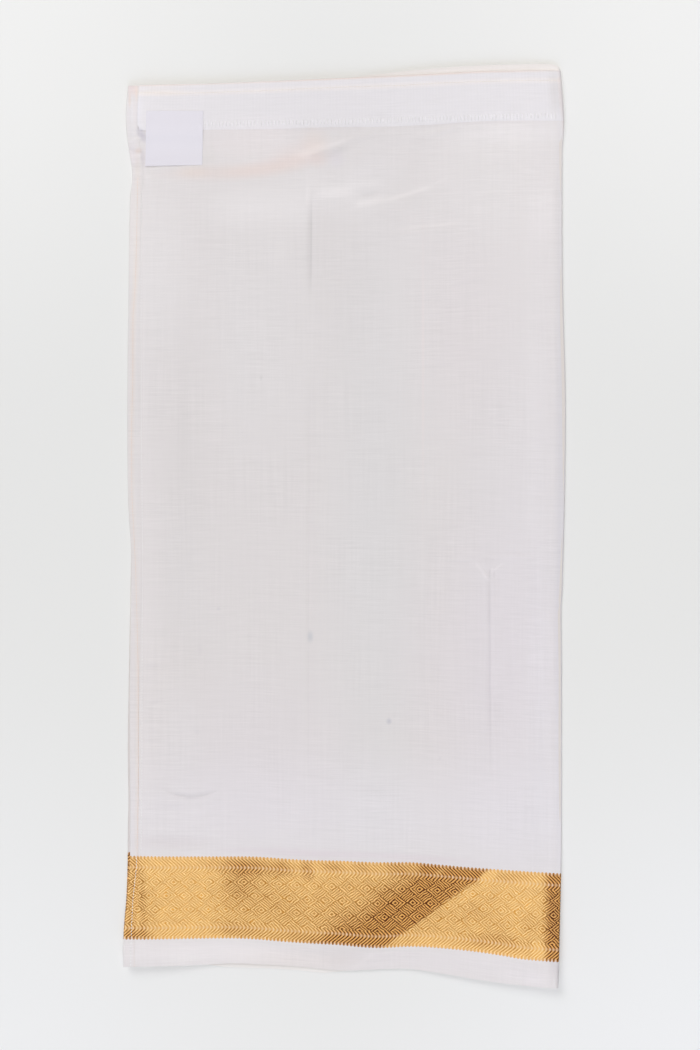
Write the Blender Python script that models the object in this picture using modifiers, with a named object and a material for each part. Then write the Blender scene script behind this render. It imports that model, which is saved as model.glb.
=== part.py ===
"""A dhoti folded flat: the wrapped outer cloth in its woven stretches, sewn edges, label and hidden layers.

Run with: blender --background --python part.py
X runs across the folded cloth, +Y towards the waist band, +Z up from the surface it rests on.
Sizes are in millimetres here, and MM turns them into Blender's metres.
"""

import math

import bmesh
import bpy

MM = 0.001
COLLECTION = "folded_dhoti"

# ---------------------------------------------------------------- driving sizes
STACK = 5.2  # height of the folded cloth in the middle of its plain ground
EDGE_STACK = 3.4  # its height along the left, right and lower edges, which are pressed flat
TAPER = 26.0  # width over which it thins towards those edges
WALL = 1.0  # thickness of the outer wrap
SEAM = 0.3  # clearance between neighbouring pieces
HEM_WIDTH = 11.5  # the turned end of the cloth
HEM_PROUD = 0.5  # how far the hem and the waist band stand above the ground cloth
HEM_ROUND = 0.35  # drop of the hem's outer edge, where the cloth turns under
HEM_STEPS = (0.0, 0.06, 0.5, 1.0)  # shares of the hem's width at which it has a point
BAND_RISE = 2.6  # extra height of the stack where every layer has its waist band
BAND_SLOPE = 26.0  # the stack starts to rise this far below the band
BAND_CREST = 8.0  # and is level this far above the band's lower edge
EDGE_FADE = 5  # the higher, the closer to an edge its curves stay
END_SETBACK = 2.5  # how far the underside stops short of the hem
FOLD_CLEAR = 10.0  # strip beside the right-hand fold where the height no longer changes
FOLD_STEPS = 8  # facets round the fold
NOTCH = 3.2  # width of the open nip between the hem and the corner under the band's end
NOTCH_LOW = 374.0
NOTCH_HIGH = 408.0

# ---------------------------------------------------------------- outlines, seen from above
LEFT_EDGE = (
    # y, x
    (-440.0, -221.0),
    (-412.0, -221.5),
    (-374.0, -219.2),
    (-329.0, -217.5),
    (-174.0, -217.0),
    (-74.0, -215.0),
    (-24.0, -214.2),
    (26.0, -216.5),
    (126.0, -217.2),
    (226.0, -216.2),
    (326.0, -214.7),
    (352.0, -212.4),
    (386.0, -217.0),
    (411.0, -218.5),
    (441.0, -216.3),
)
RIGHT_EDGE = (
    # y, x
    (-461.0, 213.8),
    (-394.0, 215.6),
    (-324.0, 217.3),
    (-124.0, 217.5),
    (-82.0, 217.2),
    (-66.0, 218.2),
    (-24.0, 219.2),
    (26.0, 220.5),
    (126.0, 221.5),
    (226.0, 219.0),
    (276.0, 218.2),
    (373.0, 218.3),
    (402.0, 219.8),
    (424.0, 218.8),
    (456.0, 216.2),
)
BOTTOM_EDGE = (
    # x, y
    (-221.0, -440.0),
    (-144.0, -438.8),
    (-108.0, -437.4),
    (-45.0, -440.8),
    (-4.0, -444.6),
    (61.0, -442.6),
    (88.0, -445.8),
    (144.0, -454.4),
    (178.0, -458.2),
    (212.0, -461.0),
)
ZARI_LOW = (
    # x, y
    (-221.0, -412.8),
    (-101.0, -411.8),
    (-38.0, -415.8),
    (38.0, -420.4),
    (70.0, -420.2),
    (136.0, -426.6),
    (178.0, -432.6),
    (215.0, -435.2),
)
ZARI_HIGH = (
    # x, y
    (-214.0, -329.6),
    (-98.0, -329.8),
    (-36.0, -334.8),
    (34.0, -336.2),
    (66.0, -336.0),
    (102.0, -340.6),
    (178.0, -345.6),
    (217.0, -347.8),
)
BAND_LOW = (
    # x, y
    (-205.0, 395.6),
    (-74.0, 396.8),
    (-14.0, 398.6),
    (46.0, 399.4),
    (96.0, 401.8),
    (136.0, 404.6),
    (216.0, 405.7),
)
TOP_EDGE = (
    # x, y
    (-216.0, 440.2),
    (-144.0, 441.6),
    (-94.0, 443.4),
    (-4.0, 447.2),
    (86.0, 451.2),
    (130.0, 453.6),
    (176.0, 454.6),
    (212.0, 455.4),
)
TOP_PEEK = (
    # x, how far the layers beneath reach past the top edge
    (-216.0, -1.2),
    (-20.0, -1.0),
    (26.0, 3.2),
    (86.0, 5.0),
    (176.0, 5.8),
    (202.0, 5.4),
    (212.0, 2.0),
)
BOTTOM_PEEK = (
    # x, how far the layers beneath reach past the lower edge
    (-221.0, 0.0),
    (-146.0, 0.0),
    (-118.0, 3.6),
    (-20.0, 3.8),
    (14.0, 0.0),
    (212.0, 0.0),
)

# ---------------------------------------------------------------- heights
# The cloth curls up beyond a crease that crosses the border towards the lower right corner.
CORNER_CREASE = (135.0, -342.0, 10.0, -444.0)  # from x, y to x, y
CORNER_LIFT = 10.0
CORNER_REACH = 141.0
CORNER_EASE = 1.6
# The lower left corner curls up more gently.
LEFT_CURL_LIFT = 7.0
LEFT_CURL_X = (-112.0, -206.0)
LEFT_CURL_Y = (-352.0, -438.0)
UNDER_SHARE = 0.35  # share of a curl that reaches the lowest layer

CREASES = (
    # start x, start y, end x, end y, half width, height
    (-33.5, 226.0, -33.5, 336.0, 5.5, -0.9),
    (147.0, -256.0, 145.2, -34.0, 5.5, -0.9),
    (88.0, -33.0, 206.0, -31.0, 8.0, 0.7),
    (-52.0, 369.0, 10.0, 390.0, 10.0, 1.5),
    (4.0, 318.0, 92.0, 341.0, 12.0, 1.7),
    (48.0, 293.0, 122.0, 304.0, 10.0, 1.1),
    (104.0, -322.0, -34.0, -436.0, 34.0, 2.2),
    (-206.0, -318.0, -132.0, -316.0, 10.0, -0.8),
)

# ---------------------------------------------------------------- how finely each stretch is divided
NOMINAL_LEFT = -217.0
NOMINAL_RIGHT = 214.0
COLUMN_STEP = 19.0
FINE_COLUMNS = (
    # from x, to x, step
    (-205.5, -189.0, 8.0),
    (-50.0, -17.0, 5.5),
    (134.0, 158.0, 6.0),
    (182.0, 214.0, 8.0),
)
NOMINAL_GROUND_LOW = -336.0
NOMINAL_GROUND_HIGH = 400.0
ROW_STEP = 62.0
FINE_ROWS = (
    # from y, to y, step
    (-336.0, -248.0, 14.0),
    (-44.0, -18.0, 6.5),
    (212.0, 284.0, 24.0),
    (284.0, 400.0, 8.5),
)
SELVEDGE_CELLS = 3
ZARI_CELLS = 7
BAND_CELLS = 6

# ---------------------------------------------------------------- hidden layers
LAYER_LEVELS = (
    # how far in from the left, bottom and top edges, from the lowest level up
    (3.4, 2.6, 2.6),
    (2.2, 1.6, 1.6),
    (3.4, 2.6, 2.6),
    (1.2, 0.6, 1.2),
    (3.0, 2.2, 2.2),
    (2.0, 1.2, 0.8),
    (3.0, 2.4, 1.4),
    (0.6, 0.8, 0.0),
    (1.8, 2.0, 0.8),
)
PEEK_FROM = 0.4  # share of the height: layers above it reach past the top edge, those below past the lower

# ---------------------------------------------------------------- label
LABEL_LEFT = -198.0
LABEL_TOP = 415.0
LABEL_WIDTH = 57.0
LABEL_HEIGHT = 55.0
LABEL_TURN = math.radians(1.2)
LABEL_CELLS = 8
LABEL_CURL = 1.4  # lift of its free lower corner
LABEL_STEP = (9.0, 4.0)  # it comes down off the band between these distances below the band's edge

COLOURS = {
    # piece: red, green, blue, roughness, metallic
    "cotton": (0.74, 0.71, 0.73, 0.85, 0.0),
    "band": (0.76, 0.74, 0.78, 0.85, 0.0),
    "zari": (0.72, 0.44, 0.14, 0.42, 0.75),
    "label": (0.82, 0.81, 0.86, 0.5, 0.0),
    "layers": (0.70, 0.66, 0.65, 0.9, 0.0),
}


# ---------------------------------------------------------------- curves and heights
def ease(share):
    """Smooth step from 0 to 1."""
    share = min(max(share, 0.0), 1.0)
    return share * share * (3.0 - 2.0 * share)


def hump(share):
    """Smooth hump: 1 at 0 and nothing beyond 1 either way."""
    return (1.0 - share * share) ** 2 if abs(share) < 1.0 else 0.0


def along(table, station):
    """Smooth curve through the (station, value) rows of a table, level beyond its ends."""
    if station <= table[0][0]:
        return table[0][1]
    if station >= table[-1][0]:
        return table[-1][1]
    row = next(i for i in range(len(table) - 1) if station <= table[i + 1][0])
    (a, va), (b, vb) = table[row], table[row + 1]
    before = table[max(row - 1, 0)]
    after = table[min(row + 2, len(table) - 1)]
    slope_a = (vb - before[1]) / (b - before[0])
    slope_b = (after[1] - va) / (after[0] - a)
    span = b - a
    t = (station - a) / span
    return (
        (1 + 2 * t) * (1 - t) ** 2 * va
        + t * (1 - t) ** 2 * span * slope_a
        + t * t * (3 - 2 * t) * vb
        - t * t * (1 - t) * span * slope_b
    )


def crease_height(crease, x, y):
    """Height that one soft ridge or trough adds at x, y."""
    x0, y0, x1, y1, half_width, height = crease
    length = math.hypot(x1 - x0, y1 - y0)
    run = ((x - x0) * (x1 - x0) + (y - y0) * (y1 - y0)) / length
    aside = ((x - x0) * (y1 - y0) - (y - y0) * (x1 - x0)) / length
    end_to_end = (run - length / 2) / (length / 2 + half_width)
    return height * hump(aside / half_width) * hump(end_to_end)


def curl(x, y):
    """Height by which the lower corners curl up from the surface."""
    x0, y0, x1, y1 = CORNER_CREASE
    length = math.hypot(x1 - x0, y1 - y0)
    beyond = ((y1 - y0) * (x - x0) - (x1 - x0) * (y - y0)) / -length
    corner = CORNER_LIFT * max(0.0, beyond / CORNER_REACH) ** CORNER_EASE
    across = ease((x - LEFT_CURL_X[0]) / (LEFT_CURL_X[1] - LEFT_CURL_X[0]))
    down = ease((y - LEFT_CURL_Y[0]) / (LEFT_CURL_Y[1] - LEFT_CURL_Y[0]))
    return corner + LEFT_CURL_LIFT * across * down


def level_x(x, y):
    """x, held where the height stops changing beside the fold."""
    return min(x, along(RIGHT_EDGE, y) - FOLD_CLEAR)


def under(x, y):
    """Height of the cloth's underside."""
    return UNDER_SHARE * curl(level_x(x, y), y)


def inside(x, y):
    """0 along the left, right and lower edges, and 1 well inside them."""
    from_left = ease((x - along(LEFT_EDGE, y)) / TAPER)
    from_right = ease((along(RIGHT_EDGE, y) - FOLD_CLEAR - x) / TAPER)
    from_bottom = ease((y - along(BOTTOM_EDGE, x)) / TAPER)
    return from_left * from_right * from_bottom


def top(x, y):
    """Height of the outer face of the ground cloth's upper panel."""
    x = level_x(x, y)
    stack = EDGE_STACK + (STACK - EDGE_STACK) * inside(x, y)
    band = ease((y - along(BAND_LOW, x) + BAND_SLOPE) / (BAND_SLOPE + BAND_CREST))
    creases = sum(crease_height(crease, x, y) for crease in CREASES)
    return stack + BAND_RISE * band + curl(x, y) + creases


def fold_radius(y):
    x = along(RIGHT_EDGE, y)
    return (top(x, y) - under(x, y)) / 2


def plan_x(nominal, y):
    """x of a column: straight inside the cloth, and following its two edges near them."""
    share = (nominal - NOMINAL_LEFT) / (NOMINAL_RIGHT - NOMINAL_LEFT)
    left_shift = along(LEFT_EDGE, y) - NOMINAL_LEFT
    right_shift = along(RIGHT_EDGE, y) - fold_radius(y) - NOMINAL_RIGHT
    return nominal + left_shift * (1.0 - share) ** EDGE_FADE + right_shift * share**EDGE_FADE


def between(low, high, share):
    """Gives y for a nominal x, at a share of the way from one outline to another."""

    def y_at(nominal):
        start = along(low, nominal)
        return start + share * (along(high, nominal) - start)

    return y_at


def stations(start, end, step, fine_spans):
    """Places from start to end, a step apart, and closer together inside the fine spans."""
    places = [start]
    while True:
        here = places[-1]
        pace = next((fine for low, high, fine in fine_spans if low <= here < high), step)
        starts = [low for low, _, _ in fine_spans if here < low < here + pace]
        places.append(min(starts + [here + pace]))
        if end - places[-1] < pace / 2:
            places[-1] = end
            return places


def shares(places):
    """The same places as shares of the way from the first to the last."""
    return [(place - places[0]) / (places[-1] - places[0]) for place in places]


def stretch(low, high, row_shares):
    """The rows of a woven stretch, from its lower outline to its upper one."""
    return [between(low, high, share) for share in row_shares]


# ---------------------------------------------------------------- Blender helpers
def clear_scene():
    for item in list(bpy.data.objects):
        bpy.data.objects.remove(item, do_unlink=True)
    collection = bpy.data.collections.get(COLLECTION) or bpy.data.collections.new(COLLECTION)
    if collection.name not in bpy.context.scene.collection.children:
        bpy.context.scene.collection.children.link(collection)
    return collection


def finish(finish_name):
    """Material of a finish, made once."""
    material = bpy.data.materials.get(finish_name)
    if material is None:
        red, green, blue, roughness, metallic = COLOURS[finish_name]
        material = bpy.data.materials.new(finish_name)
        material.use_nodes = True
        shader = material.node_tree.nodes["Principled BSDF"]
        shader.inputs["Base Color"].default_value = (red, green, blue, 1.0)
        shader.inputs["Roughness"].default_value = roughness
        shader.inputs["Metallic"].default_value = metallic
    return material


def add_object(name, bm, finish_name):
    """Makes an object of a mesh whose points are in millimetres."""
    bmesh.ops.scale(bm, vec=(MM, MM, MM), verts=bm.verts)
    mesh = bpy.data.meshes.new(name)
    bm.to_mesh(mesh)
    bm.free()
    mesh.materials.append(finish(finish_name))
    item = bpy.data.objects.new(name, mesh)
    PARTS.objects.link(item)
    return item


def shaped_grid(columns, rows, point):
    """Grid of columns by rows cells, with each corner put at point(column, row)."""
    bm = bmesh.new()
    bmesh.ops.create_grid(bm, x_segments=columns, y_segments=rows, size=0.5)
    for vert in bm.verts:
        column = round((vert.co.x + 0.5) * columns)
        row = round((vert.co.y + 0.5) * rows)
        vert.co = point(column, row)
    return bm


def shell(name, bm, finish_name, wall, thin_share=1.0, is_thick=None):
    """Closed wall behind an open sheet. Where is_thick says no, it has only thin_share of its thickness."""
    item = add_object(name, bm, finish_name)
    solidify = item.modifiers.new("wall", "SOLIDIFY")
    solidify.thickness = wall * MM
    solidify.offset = -1.0
    solidify.use_even_offset = True
    if is_thick is not None:
        group = item.vertex_groups.new(name="turned")
        group.add([v.index for v in item.data.vertices if is_thick(v.co / MM)], 1.0, "REPLACE")
        solidify.vertex_group = group.name
        solidify.thickness_vertex_group = thin_share
    return item


# ---------------------------------------------------------------- pieces
def wrap(name, rows, finish_name, seam_above=True, proud=0.0, nip=None):
    """A stretch of the outer cloth: over the top, round the right-hand fold and back underneath."""
    last = len(COLUMNS) - 1
    total = 2 * last + FOLD_STEPS

    def point(step, row):
        column = min(step, last) if step <= last + FOLD_STEPS else total - step
        nominal = COLUMNS[column]
        y = rows[row](nominal)
        x = plan_x(nominal, y)
        if row == len(rows) - 1 and seam_above:
            y -= SEAM
        if column == 0:
            x += SEAM + (nip(y) if nip else 0.0)
        if step <= last:
            return x, y, top(x, y) + proud
        if step >= last + FOLD_STEPS:
            if column == 0:
                x = along(LEFT_EDGE, y) + END_SETBACK
            return x, y, under(x, y)
        low_z = under(x, y)
        high_z = top(x, y) + proud
        radius = (high_z - low_z) / 2
        turn = math.pi * (step - last) / FOLD_STEPS
        return x + fold_radius(y) * math.sin(turn), y, low_z + radius * (1 + math.cos(turn))

    bm = shaped_grid(total, len(rows) - 1, point)
    if not proud:
        return shell(name, bm, finish_name, WALL)

    def on_top(co):
        return co.z > EDGE_STACK and co.x < along(RIGHT_EDGE, co.y) - FOLD_CLEAR

    return shell(name, bm, finish_name, WALL + proud, WALL / (WALL + proud), on_top)


def end_hem(name, rows, finish_name, seam_above=True):
    """The turned end of the cloth, along the left edge of the upper panel."""

    def point(step, row):
        y = rows[row](COLUMNS[0])
        left = along(LEFT_EDGE, y)
        x = left + HEM_STEPS[step] * (plan_x(COLUMNS[0], y) - left)
        if row == len(rows) - 1 and seam_above:
            y -= SEAM
        drop = HEM_ROUND if step == 0 else 0.0
        return x, y, top(x, y) + HEM_PROUD - drop

    bm = shaped_grid(len(HEM_STEPS) - 1, len(rows) - 1, point)
    return shell(name, bm, finish_name, WALL + HEM_PROUD)


def label():
    """The sewn label, lying over the step at the waist band's lower edge."""

    def point(column, row):
        across = LABEL_WIDTH * column / LABEL_CELLS
        down = LABEL_HEIGHT * (1 - row / LABEL_CELLS)
        x = LABEL_LEFT + across * math.cos(LABEL_TURN) - down * math.sin(LABEL_TURN)
        y = LABEL_TOP - down * math.cos(LABEL_TURN) + across * math.sin(LABEL_TURN) * down / LABEL_HEIGHT
        far, near = LABEL_STEP
        on_band = ease((y - along(BAND_LOW, x) + far) / (far - near))
        free = (1 - column / LABEL_CELLS) * (1 - row / LABEL_CELLS)
        lift = LABEL_CURL * free**2
        return x, y, top(x, y) + SEAM + WALL + HEM_PROUD * on_band + lift

    bm = shaped_grid(LABEL_CELLS, LABEL_CELLS, point)
    return shell("label", bm, "label", WALL)


def hidden_layers():
    """The folded layers inside the wrap: a block cut into a grid, then shaped, grooved between layers."""
    nominals = [NOMINAL_LEFT] + COLUMNS
    rows = SELVEDGE + ZARI[1:] + GROUND[1:] + BAND[1:]
    cells = len(nominals) - 1, len(rows) - 1, len(LAYER_LEVELS) - 1

    bm = bmesh.new()
    bmesh.ops.create_cube(bm, size=1.0)
    for axis, count in enumerate(cells):
        normal = [0.0, 0.0, 0.0]
        normal[axis] = 1.0
        for cut in range(1, count):
            place = [n * (cut / count - 0.5) for n in normal]
            everything = bm.verts[:] + bm.edges[:] + bm.faces[:]
            bmesh.ops.bisect_plane(bm, geom=everything, plane_co=place, plane_no=normal, dist=1e-6)

    for vert in bm.verts:
        column, row, level = (round((vert.co[axis] + 0.5) * cells[axis]) for axis in range(3))
        share = level / cells[2]
        from_left, from_bottom, from_top = LAYER_LEVELS[level]
        y = rows[row](nominals[column])
        x = plan_x(nominals[column], y)
        floor_z = under(x, y) + WALL + SEAM
        roof_z = top(x, y) - WALL - SEAM
        if column == 0:
            x = along(LEFT_EDGE, y) + from_left
        if column == cells[0]:
            x += (roof_z - floor_z) / 2 * math.sqrt(1.0 - (2.0 * share - 1.0) ** 2)
        if row == 0:
            y += from_bottom - (along(BOTTOM_PEEK, x) if share < PEEK_FROM else 0.0)
        if row == cells[1]:
            y += (along(TOP_PEEK, x) if share > PEEK_FROM else 0.0) - from_top
        vert.co = x, y, floor_z + share * (roof_z - floor_z)
    return add_object("hidden_layers", bm, "layers")


def notch(y):
    """Width of the open nip beside the band's end, tapering out at both ends."""
    middle = (NOTCH_LOW + NOTCH_HIGH) / 2
    return NOTCH * hump((y - middle) / (NOTCH_HIGH - middle))


PARTS = clear_scene()
COLUMNS = stations(NOMINAL_LEFT + HEM_WIDTH, NOMINAL_RIGHT, COLUMN_STEP, FINE_COLUMNS)
SELVEDGE = stretch(BOTTOM_EDGE, ZARI_LOW, shares(range(SELVEDGE_CELLS + 1)))
ZARI = stretch(ZARI_LOW, ZARI_HIGH, shares(range(ZARI_CELLS + 1)))
ground_places = stations(NOMINAL_GROUND_LOW, NOMINAL_GROUND_HIGH, ROW_STEP, FINE_ROWS)
GROUND = stretch(ZARI_HIGH, BAND_LOW, shares(ground_places))
BAND = stretch(BAND_LOW, TOP_EDGE, shares(range(BAND_CELLS + 1)))

wrap("selvedge_strip", SELVEDGE, "cotton")
wrap("zari_border", ZARI, "zari")
wrap("ground_cloth", GROUND, "cotton", nip=notch)
wrap("waist_band", BAND, "band", seam_above=False, proud=HEM_PROUD, nip=notch)
end_hem("end_hem_selvedge", SELVEDGE, "cotton")
end_hem("end_hem_zari", ZARI, "zari")
end_hem("end_hem_ground", GROUND + BAND[1:], "cotton", seam_above=False)
label()
hidden_layers()
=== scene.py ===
# %% [markdown]
# # A folded dhoti, one cell at a time
#
# A dhoti is one long woven length of fine cotton and silk, here folded flat so that six panels lie on each
# other. It has a plain white ground, a woven gold border near one selvedge and a stitched band at the other
# end. This lesson dresses a plain model of it: every solid of the model gets a thin cloth shell with its
# creases, its weave and its sewing. The first step is to open that model, which is the fixed frame.

# %% Open the frame
import math
from functools import partial

import bmesh
import bpy
import numpy as np
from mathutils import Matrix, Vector


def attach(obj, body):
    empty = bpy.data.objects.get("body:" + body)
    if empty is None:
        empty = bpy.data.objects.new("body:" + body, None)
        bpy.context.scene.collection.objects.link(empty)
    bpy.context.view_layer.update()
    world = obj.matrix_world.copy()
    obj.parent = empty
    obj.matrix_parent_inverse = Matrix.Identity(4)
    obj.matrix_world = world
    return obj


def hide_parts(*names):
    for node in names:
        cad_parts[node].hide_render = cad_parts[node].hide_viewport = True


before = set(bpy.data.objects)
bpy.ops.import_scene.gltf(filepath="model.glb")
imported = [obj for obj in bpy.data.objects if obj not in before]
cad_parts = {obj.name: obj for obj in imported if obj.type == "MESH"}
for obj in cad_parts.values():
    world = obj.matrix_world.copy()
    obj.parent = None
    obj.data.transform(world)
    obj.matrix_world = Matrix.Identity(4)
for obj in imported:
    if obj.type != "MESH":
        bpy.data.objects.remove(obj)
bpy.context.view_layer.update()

MM = 0.001

# %% [markdown]
# ## Camera, floor and light
#
# The cloth lies flat, so it is seen from straight above. A long lens far away keeps the edges square, as a
# copy stand does. The picture is 1050 mm tall at the height of the cloth. Colours are shown as they are
# mixed, with the Standard view transform, because a white cloth on a white floor leaves no room for a curve.

# %% Camera
PICTURE_CENTRE = (5.5, 1.25)
PICTURE_HEIGHT = 1050.0
LENS = 85.0
SENSOR = 36.0
CLOTH_LEVEL = 5.0

camera_data = bpy.data.cameras.new("camera")
camera_data.lens = LENS
camera_data.sensor_width = SENSOR
camera_data.clip_start = 0.01
camera = bpy.data.objects.new("camera", camera_data)
camera_height = PICTURE_HEIGHT * LENS / SENSOR + CLOTH_LEVEL
camera.location = (PICTURE_CENTRE[0] * MM, PICTURE_CENTRE[1] * MM, camera_height * MM)
bpy.context.scene.collection.objects.link(camera)
bpy.context.scene.camera = camera
bpy.context.scene.view_settings.view_transform = "Standard"
print("camera stands", round(camera_height), "mm above the floor")

# %% [markdown]
# The light is that of a copy stand: one lamp straight overhead does most of the work, so that the edges
# throw hardly any shadow, and a faint even sky fills in. A wide lamp at the upper left gives each crease a
# light side and a dark side. A wide cool lamp at the lower side leaves a soft warm shade above the thick
# upper edge, and the overhead lamp is a little warm to balance it. Four soft spots whiten the corners of the
# floor.

# %% Light
SKY = 0.2
SUNS = {
    # lamp: place, strength, spread in degrees, red, green, blue
    "lamp_overhead": ((0.1, -0.25, 4.0), 1.44, 24.0, (1.05, 1.01, 0.93)),
    "lamp_upper_left": ((-0.6, 0.75, 0.86), 0.95, 34.0, (1.0, 1.0, 1.0)),
    "lamp_lower": ((-0.05, -1.0, 0.84), 0.62, 50.0, (0.82, 0.96, 1.22)),
}
SPOT_PLACE = (0.55, 0.75, 1.7)
SPOT_AIM = (0.5, 0.72, 0.0)
SPOT_SPREAD = 42.0
SPOTS = {
    # lamp: side in x, side in y, watts, red, green, blue
    "spot_upper_left": (-1, 1, 16.0, (1.0, 1.0, 1.0)),
    "spot_upper_right": (1, 1, 16.0, (1.0, 1.0, 1.02)),
    "spot_lower_left": (-1, -1, 11.0, (0.92, 0.99, 1.25)),
    "spot_lower_right": (1, -1, 13.0, (0.9, 0.99, 1.3)),
}

world = bpy.data.worlds.new("white_room")
world.use_nodes = True
world.node_tree.nodes["Background"].inputs["Color"].default_value = (1.0, 1.0, 1.0, 1.0)
world.node_tree.nodes["Background"].inputs["Strength"].default_value = SKY
bpy.context.scene.world = world


def add_lamp(name, kind, place, aim, energy):
    """Lamp at a place, turned towards the point it aims at."""
    data = bpy.data.lights.new(name, kind)
    data.energy = energy
    lamp = bpy.data.objects.new(name, data)
    lamp.location = place
    lamp.rotation_euler = (Vector(aim) - Vector(place)).to_track_quat("-Z", "Y").to_euler()
    bpy.context.scene.collection.objects.link(lamp)
    return data


for lamp_name, (place, strength, spread, colour) in SUNS.items():
    sun = add_lamp(lamp_name, "SUN", place, (0.0, 0.0, 0.0), strength)
    sun.angle = math.radians(spread)
    sun.color = colour
for lamp_name, (side_x, side_y, watts, colour) in SPOTS.items():
    place, aim = ((side_x * x, side_y * y, z) for x, y, z in (SPOT_PLACE, SPOT_AIM))
    spot = add_lamp(lamp_name, "SPOT", place, aim, watts)
    spot.spot_size = math.radians(SPOT_SPREAD)
    spot.spot_blend = 1.0
    spot.color = colour
    spot.shadow_soft_size = 0.1
print("lamps:", len(SUNS) + len(SPOTS))

# %% [markdown]
# ## Outlines
#
# The cloth isn't a true rectangle: every edge wanders a few millimetres. Each outline is a short table of
# places, joined by a smooth curve, the same within a millimetre or two as those of the model. Sizes are in
# millimetres.

# %% Driving sizes
STACK = 5.0
EDGE_STACK = 2.9
TAPER = 26.0
BAND_RISE = 2.6
BAND_SLOPE = 26.0
BAND_CREST = 8.0
EDGE_FADE = 5
HEM_WIDTH = 11.5
HEM_PROUD = 0.5
FOLD_CLEAR = 10.0
CLOTH_THICKNESS = 0.3
NOMINAL_LEFT = -217.0
NOMINAL_RIGHT = 214.0

# %% Outline tables
LEFT_EDGE = (
    # y, x
    (-440, -221), (-412, -221.5), (-374, -219.2), (-329, -217.5), (-174, -217),
    (-74, -215), (-24, -214.2), (26, -216.5), (126, -217.2), (226, -216.2),
    (326, -214.7), (352, -212.4), (386, -217), (411, -218.5), (441, -216.3),
)
RIGHT_EDGE = (
    # y, x
    (-461, 213.8), (-394, 215.6), (-324, 217.3), (-124, 217.5), (-82, 217.2),
    (-66, 218.2), (-24, 219.2), (26, 220.5), (126, 221.5), (226, 219),
    (276, 218.2), (373, 218.3), (402, 219.8), (424, 218.8), (456, 216.2),
)
BOTTOM_EDGE = (
    # x, y
    (-221, -440), (-144, -438.8), (-108, -437.4), (-45, -440.8), (-4, -444.6),
    (61, -442.6), (88, -445.8), (144, -454.4), (178, -458.2), (212, -461),
)
ZARI_LOW = (
    # x, y
    (-221, -412.8), (-184, -412.6), (-112, -412.4), (-88, -413.3), (-56, -416.1),
    (-28, -417.8), (-5, -418.9), (31, -422), (67, -420.7), (91, -421.6),
    (130, -425.2), (163, -429.8), (178, -432.3), (215, -435.4),
)
ZARI_HIGH = (
    # x, y
    (-214, -329.6), (-184, -329.9), (-112, -329.9), (-88, -330.2), (-40, -333.4),
    (-5, -334.2), (31, -335.7), (67, -335.6), (91, -337.8), (130, -341.3),
    (178, -344.5), (217, -347.2),
)
BAND_LOW = (
    # x, y
    (-205, 395.6), (-74, 396.8), (-14, 398.6), (46, 399.4),
    (96, 401.8), (136, 404.6), (216, 405.7),
)
TOP_EDGE = (
    # x, y
    (-216, 440.2), (-144, 441.6), (-94, 443.4), (-4, 447.2),
    (86, 451.2), (130, 453.6), (176, 454.6), (212, 455.4),
)
TOP_PEEK = (
    # x, how far the layers beneath reach past the top edge
    (-216, -1.2), (-20, -1), (26, 3), (86, 5.8), (130, 6.6), (176, 7.4), (202, 7.6),
    (209, 6.6), (214, 4.4), (217, 1),
)
BOTTOM_PEEK = (
    # x, how far the layers beneath reach past the lower edge
    (-221, 0), (-150, 0), (-118, 5.8), (-60, 5.4), (-20, 5), (18, 0), (212, 0),
)
HEM_INSET = (
    # y, how far the hem stops short of the layers beneath it at the left
    (-440, 0.2), (-412, 0.6), (-374, 1.8), (-329, 2.8), (-250, 2.6),
    (-74, 1.2), (26, 0), (200, 0), (441, 0),
)


# %% Smooth curve through a table
def along(table, station):
    """Smooth curve through the (station, value) rows of a table, level beyond its ends."""
    at, value = np.array(table).T
    station = np.clip(station, at[0], at[-1])
    row = np.clip(np.searchsorted(at[1:], station), 0, len(at) - 2)
    before = np.maximum(row - 1, 0)
    after = np.minimum(row + 2, len(at) - 1)
    span = at[row + 1] - at[row]
    slope_start = (value[row + 1] - value[before]) / (at[row + 1] - at[before])
    slope_end = (value[after] - value[row]) / (at[after] - at[row])
    t = (station - at[row]) / span
    return (
        (1 + 2 * t) * (1 - t) ** 2 * value[row]
        + t * (1 - t) ** 2 * span * slope_start
        + t * t * (3 - 2 * t) * value[row + 1]
        - t * t * (1 - t) * span * slope_end
    )


def ease(share):
    """Smooth step from 0 to 1."""
    share = np.clip(share, 0.0, 1.0)
    return share * share * (3.0 - 2.0 * share)


def hump(share):
    """Smooth hump: 1 at 0 and nothing beyond 1 either way."""
    return np.clip(1.0 - share * share, 0.0, 1.0) ** 2


def peak(share):
    """Pressed edge: 1 at 0, falling in a straight crisp line to nothing at 1."""
    return np.clip(1.0 - np.abs(share), 0.0, 1.0) ** 1.5


print("bottom edge at the middle:", round(float(along(BOTTOM_EDGE, 0.0)), 1), "mm")

# %% [markdown]
# ## Heights
#
# The folded cloth is 5 mm high and thinner along its pressed edges. It is higher at the stitched end, where
# each of its six layers is turned and sewn, and its two lower corners curl up. Creases are soft ridges and
# troughs, each a row of a table with its own ends, bow, width and height. A crisp one has a sharp line along
# its middle, like a pressed fold. Each row also paints shade into the cloth's colour along its line, or painted
# light where its number is below 0, and some rows have no height and are only painted light and shade.

# %% Curled corners
CORNER_CREASE = (135.0, -342.0, 10.0, -444.0)
CORNER_LIFT = 10.0
CORNER_REACH = 141.0
CORNER_EASE = 1.6
LEFT_CURL_LIFT = 7.0
LEFT_CURL_X = (-112.0, -206.0)
LEFT_CURL_Y = (-352.0, -438.0)
UNDER_SHARE = 0.35


def beyond_line(line, x, y):
    """Distance past a line that crosses the border, towards the lower right corner."""
    x0, y0, x1, y1 = line
    return ((y1 - y0) * (x - x0) - (x1 - x0) * (y - y0)) / -math.hypot(x1 - x0, y1 - y0)


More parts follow.
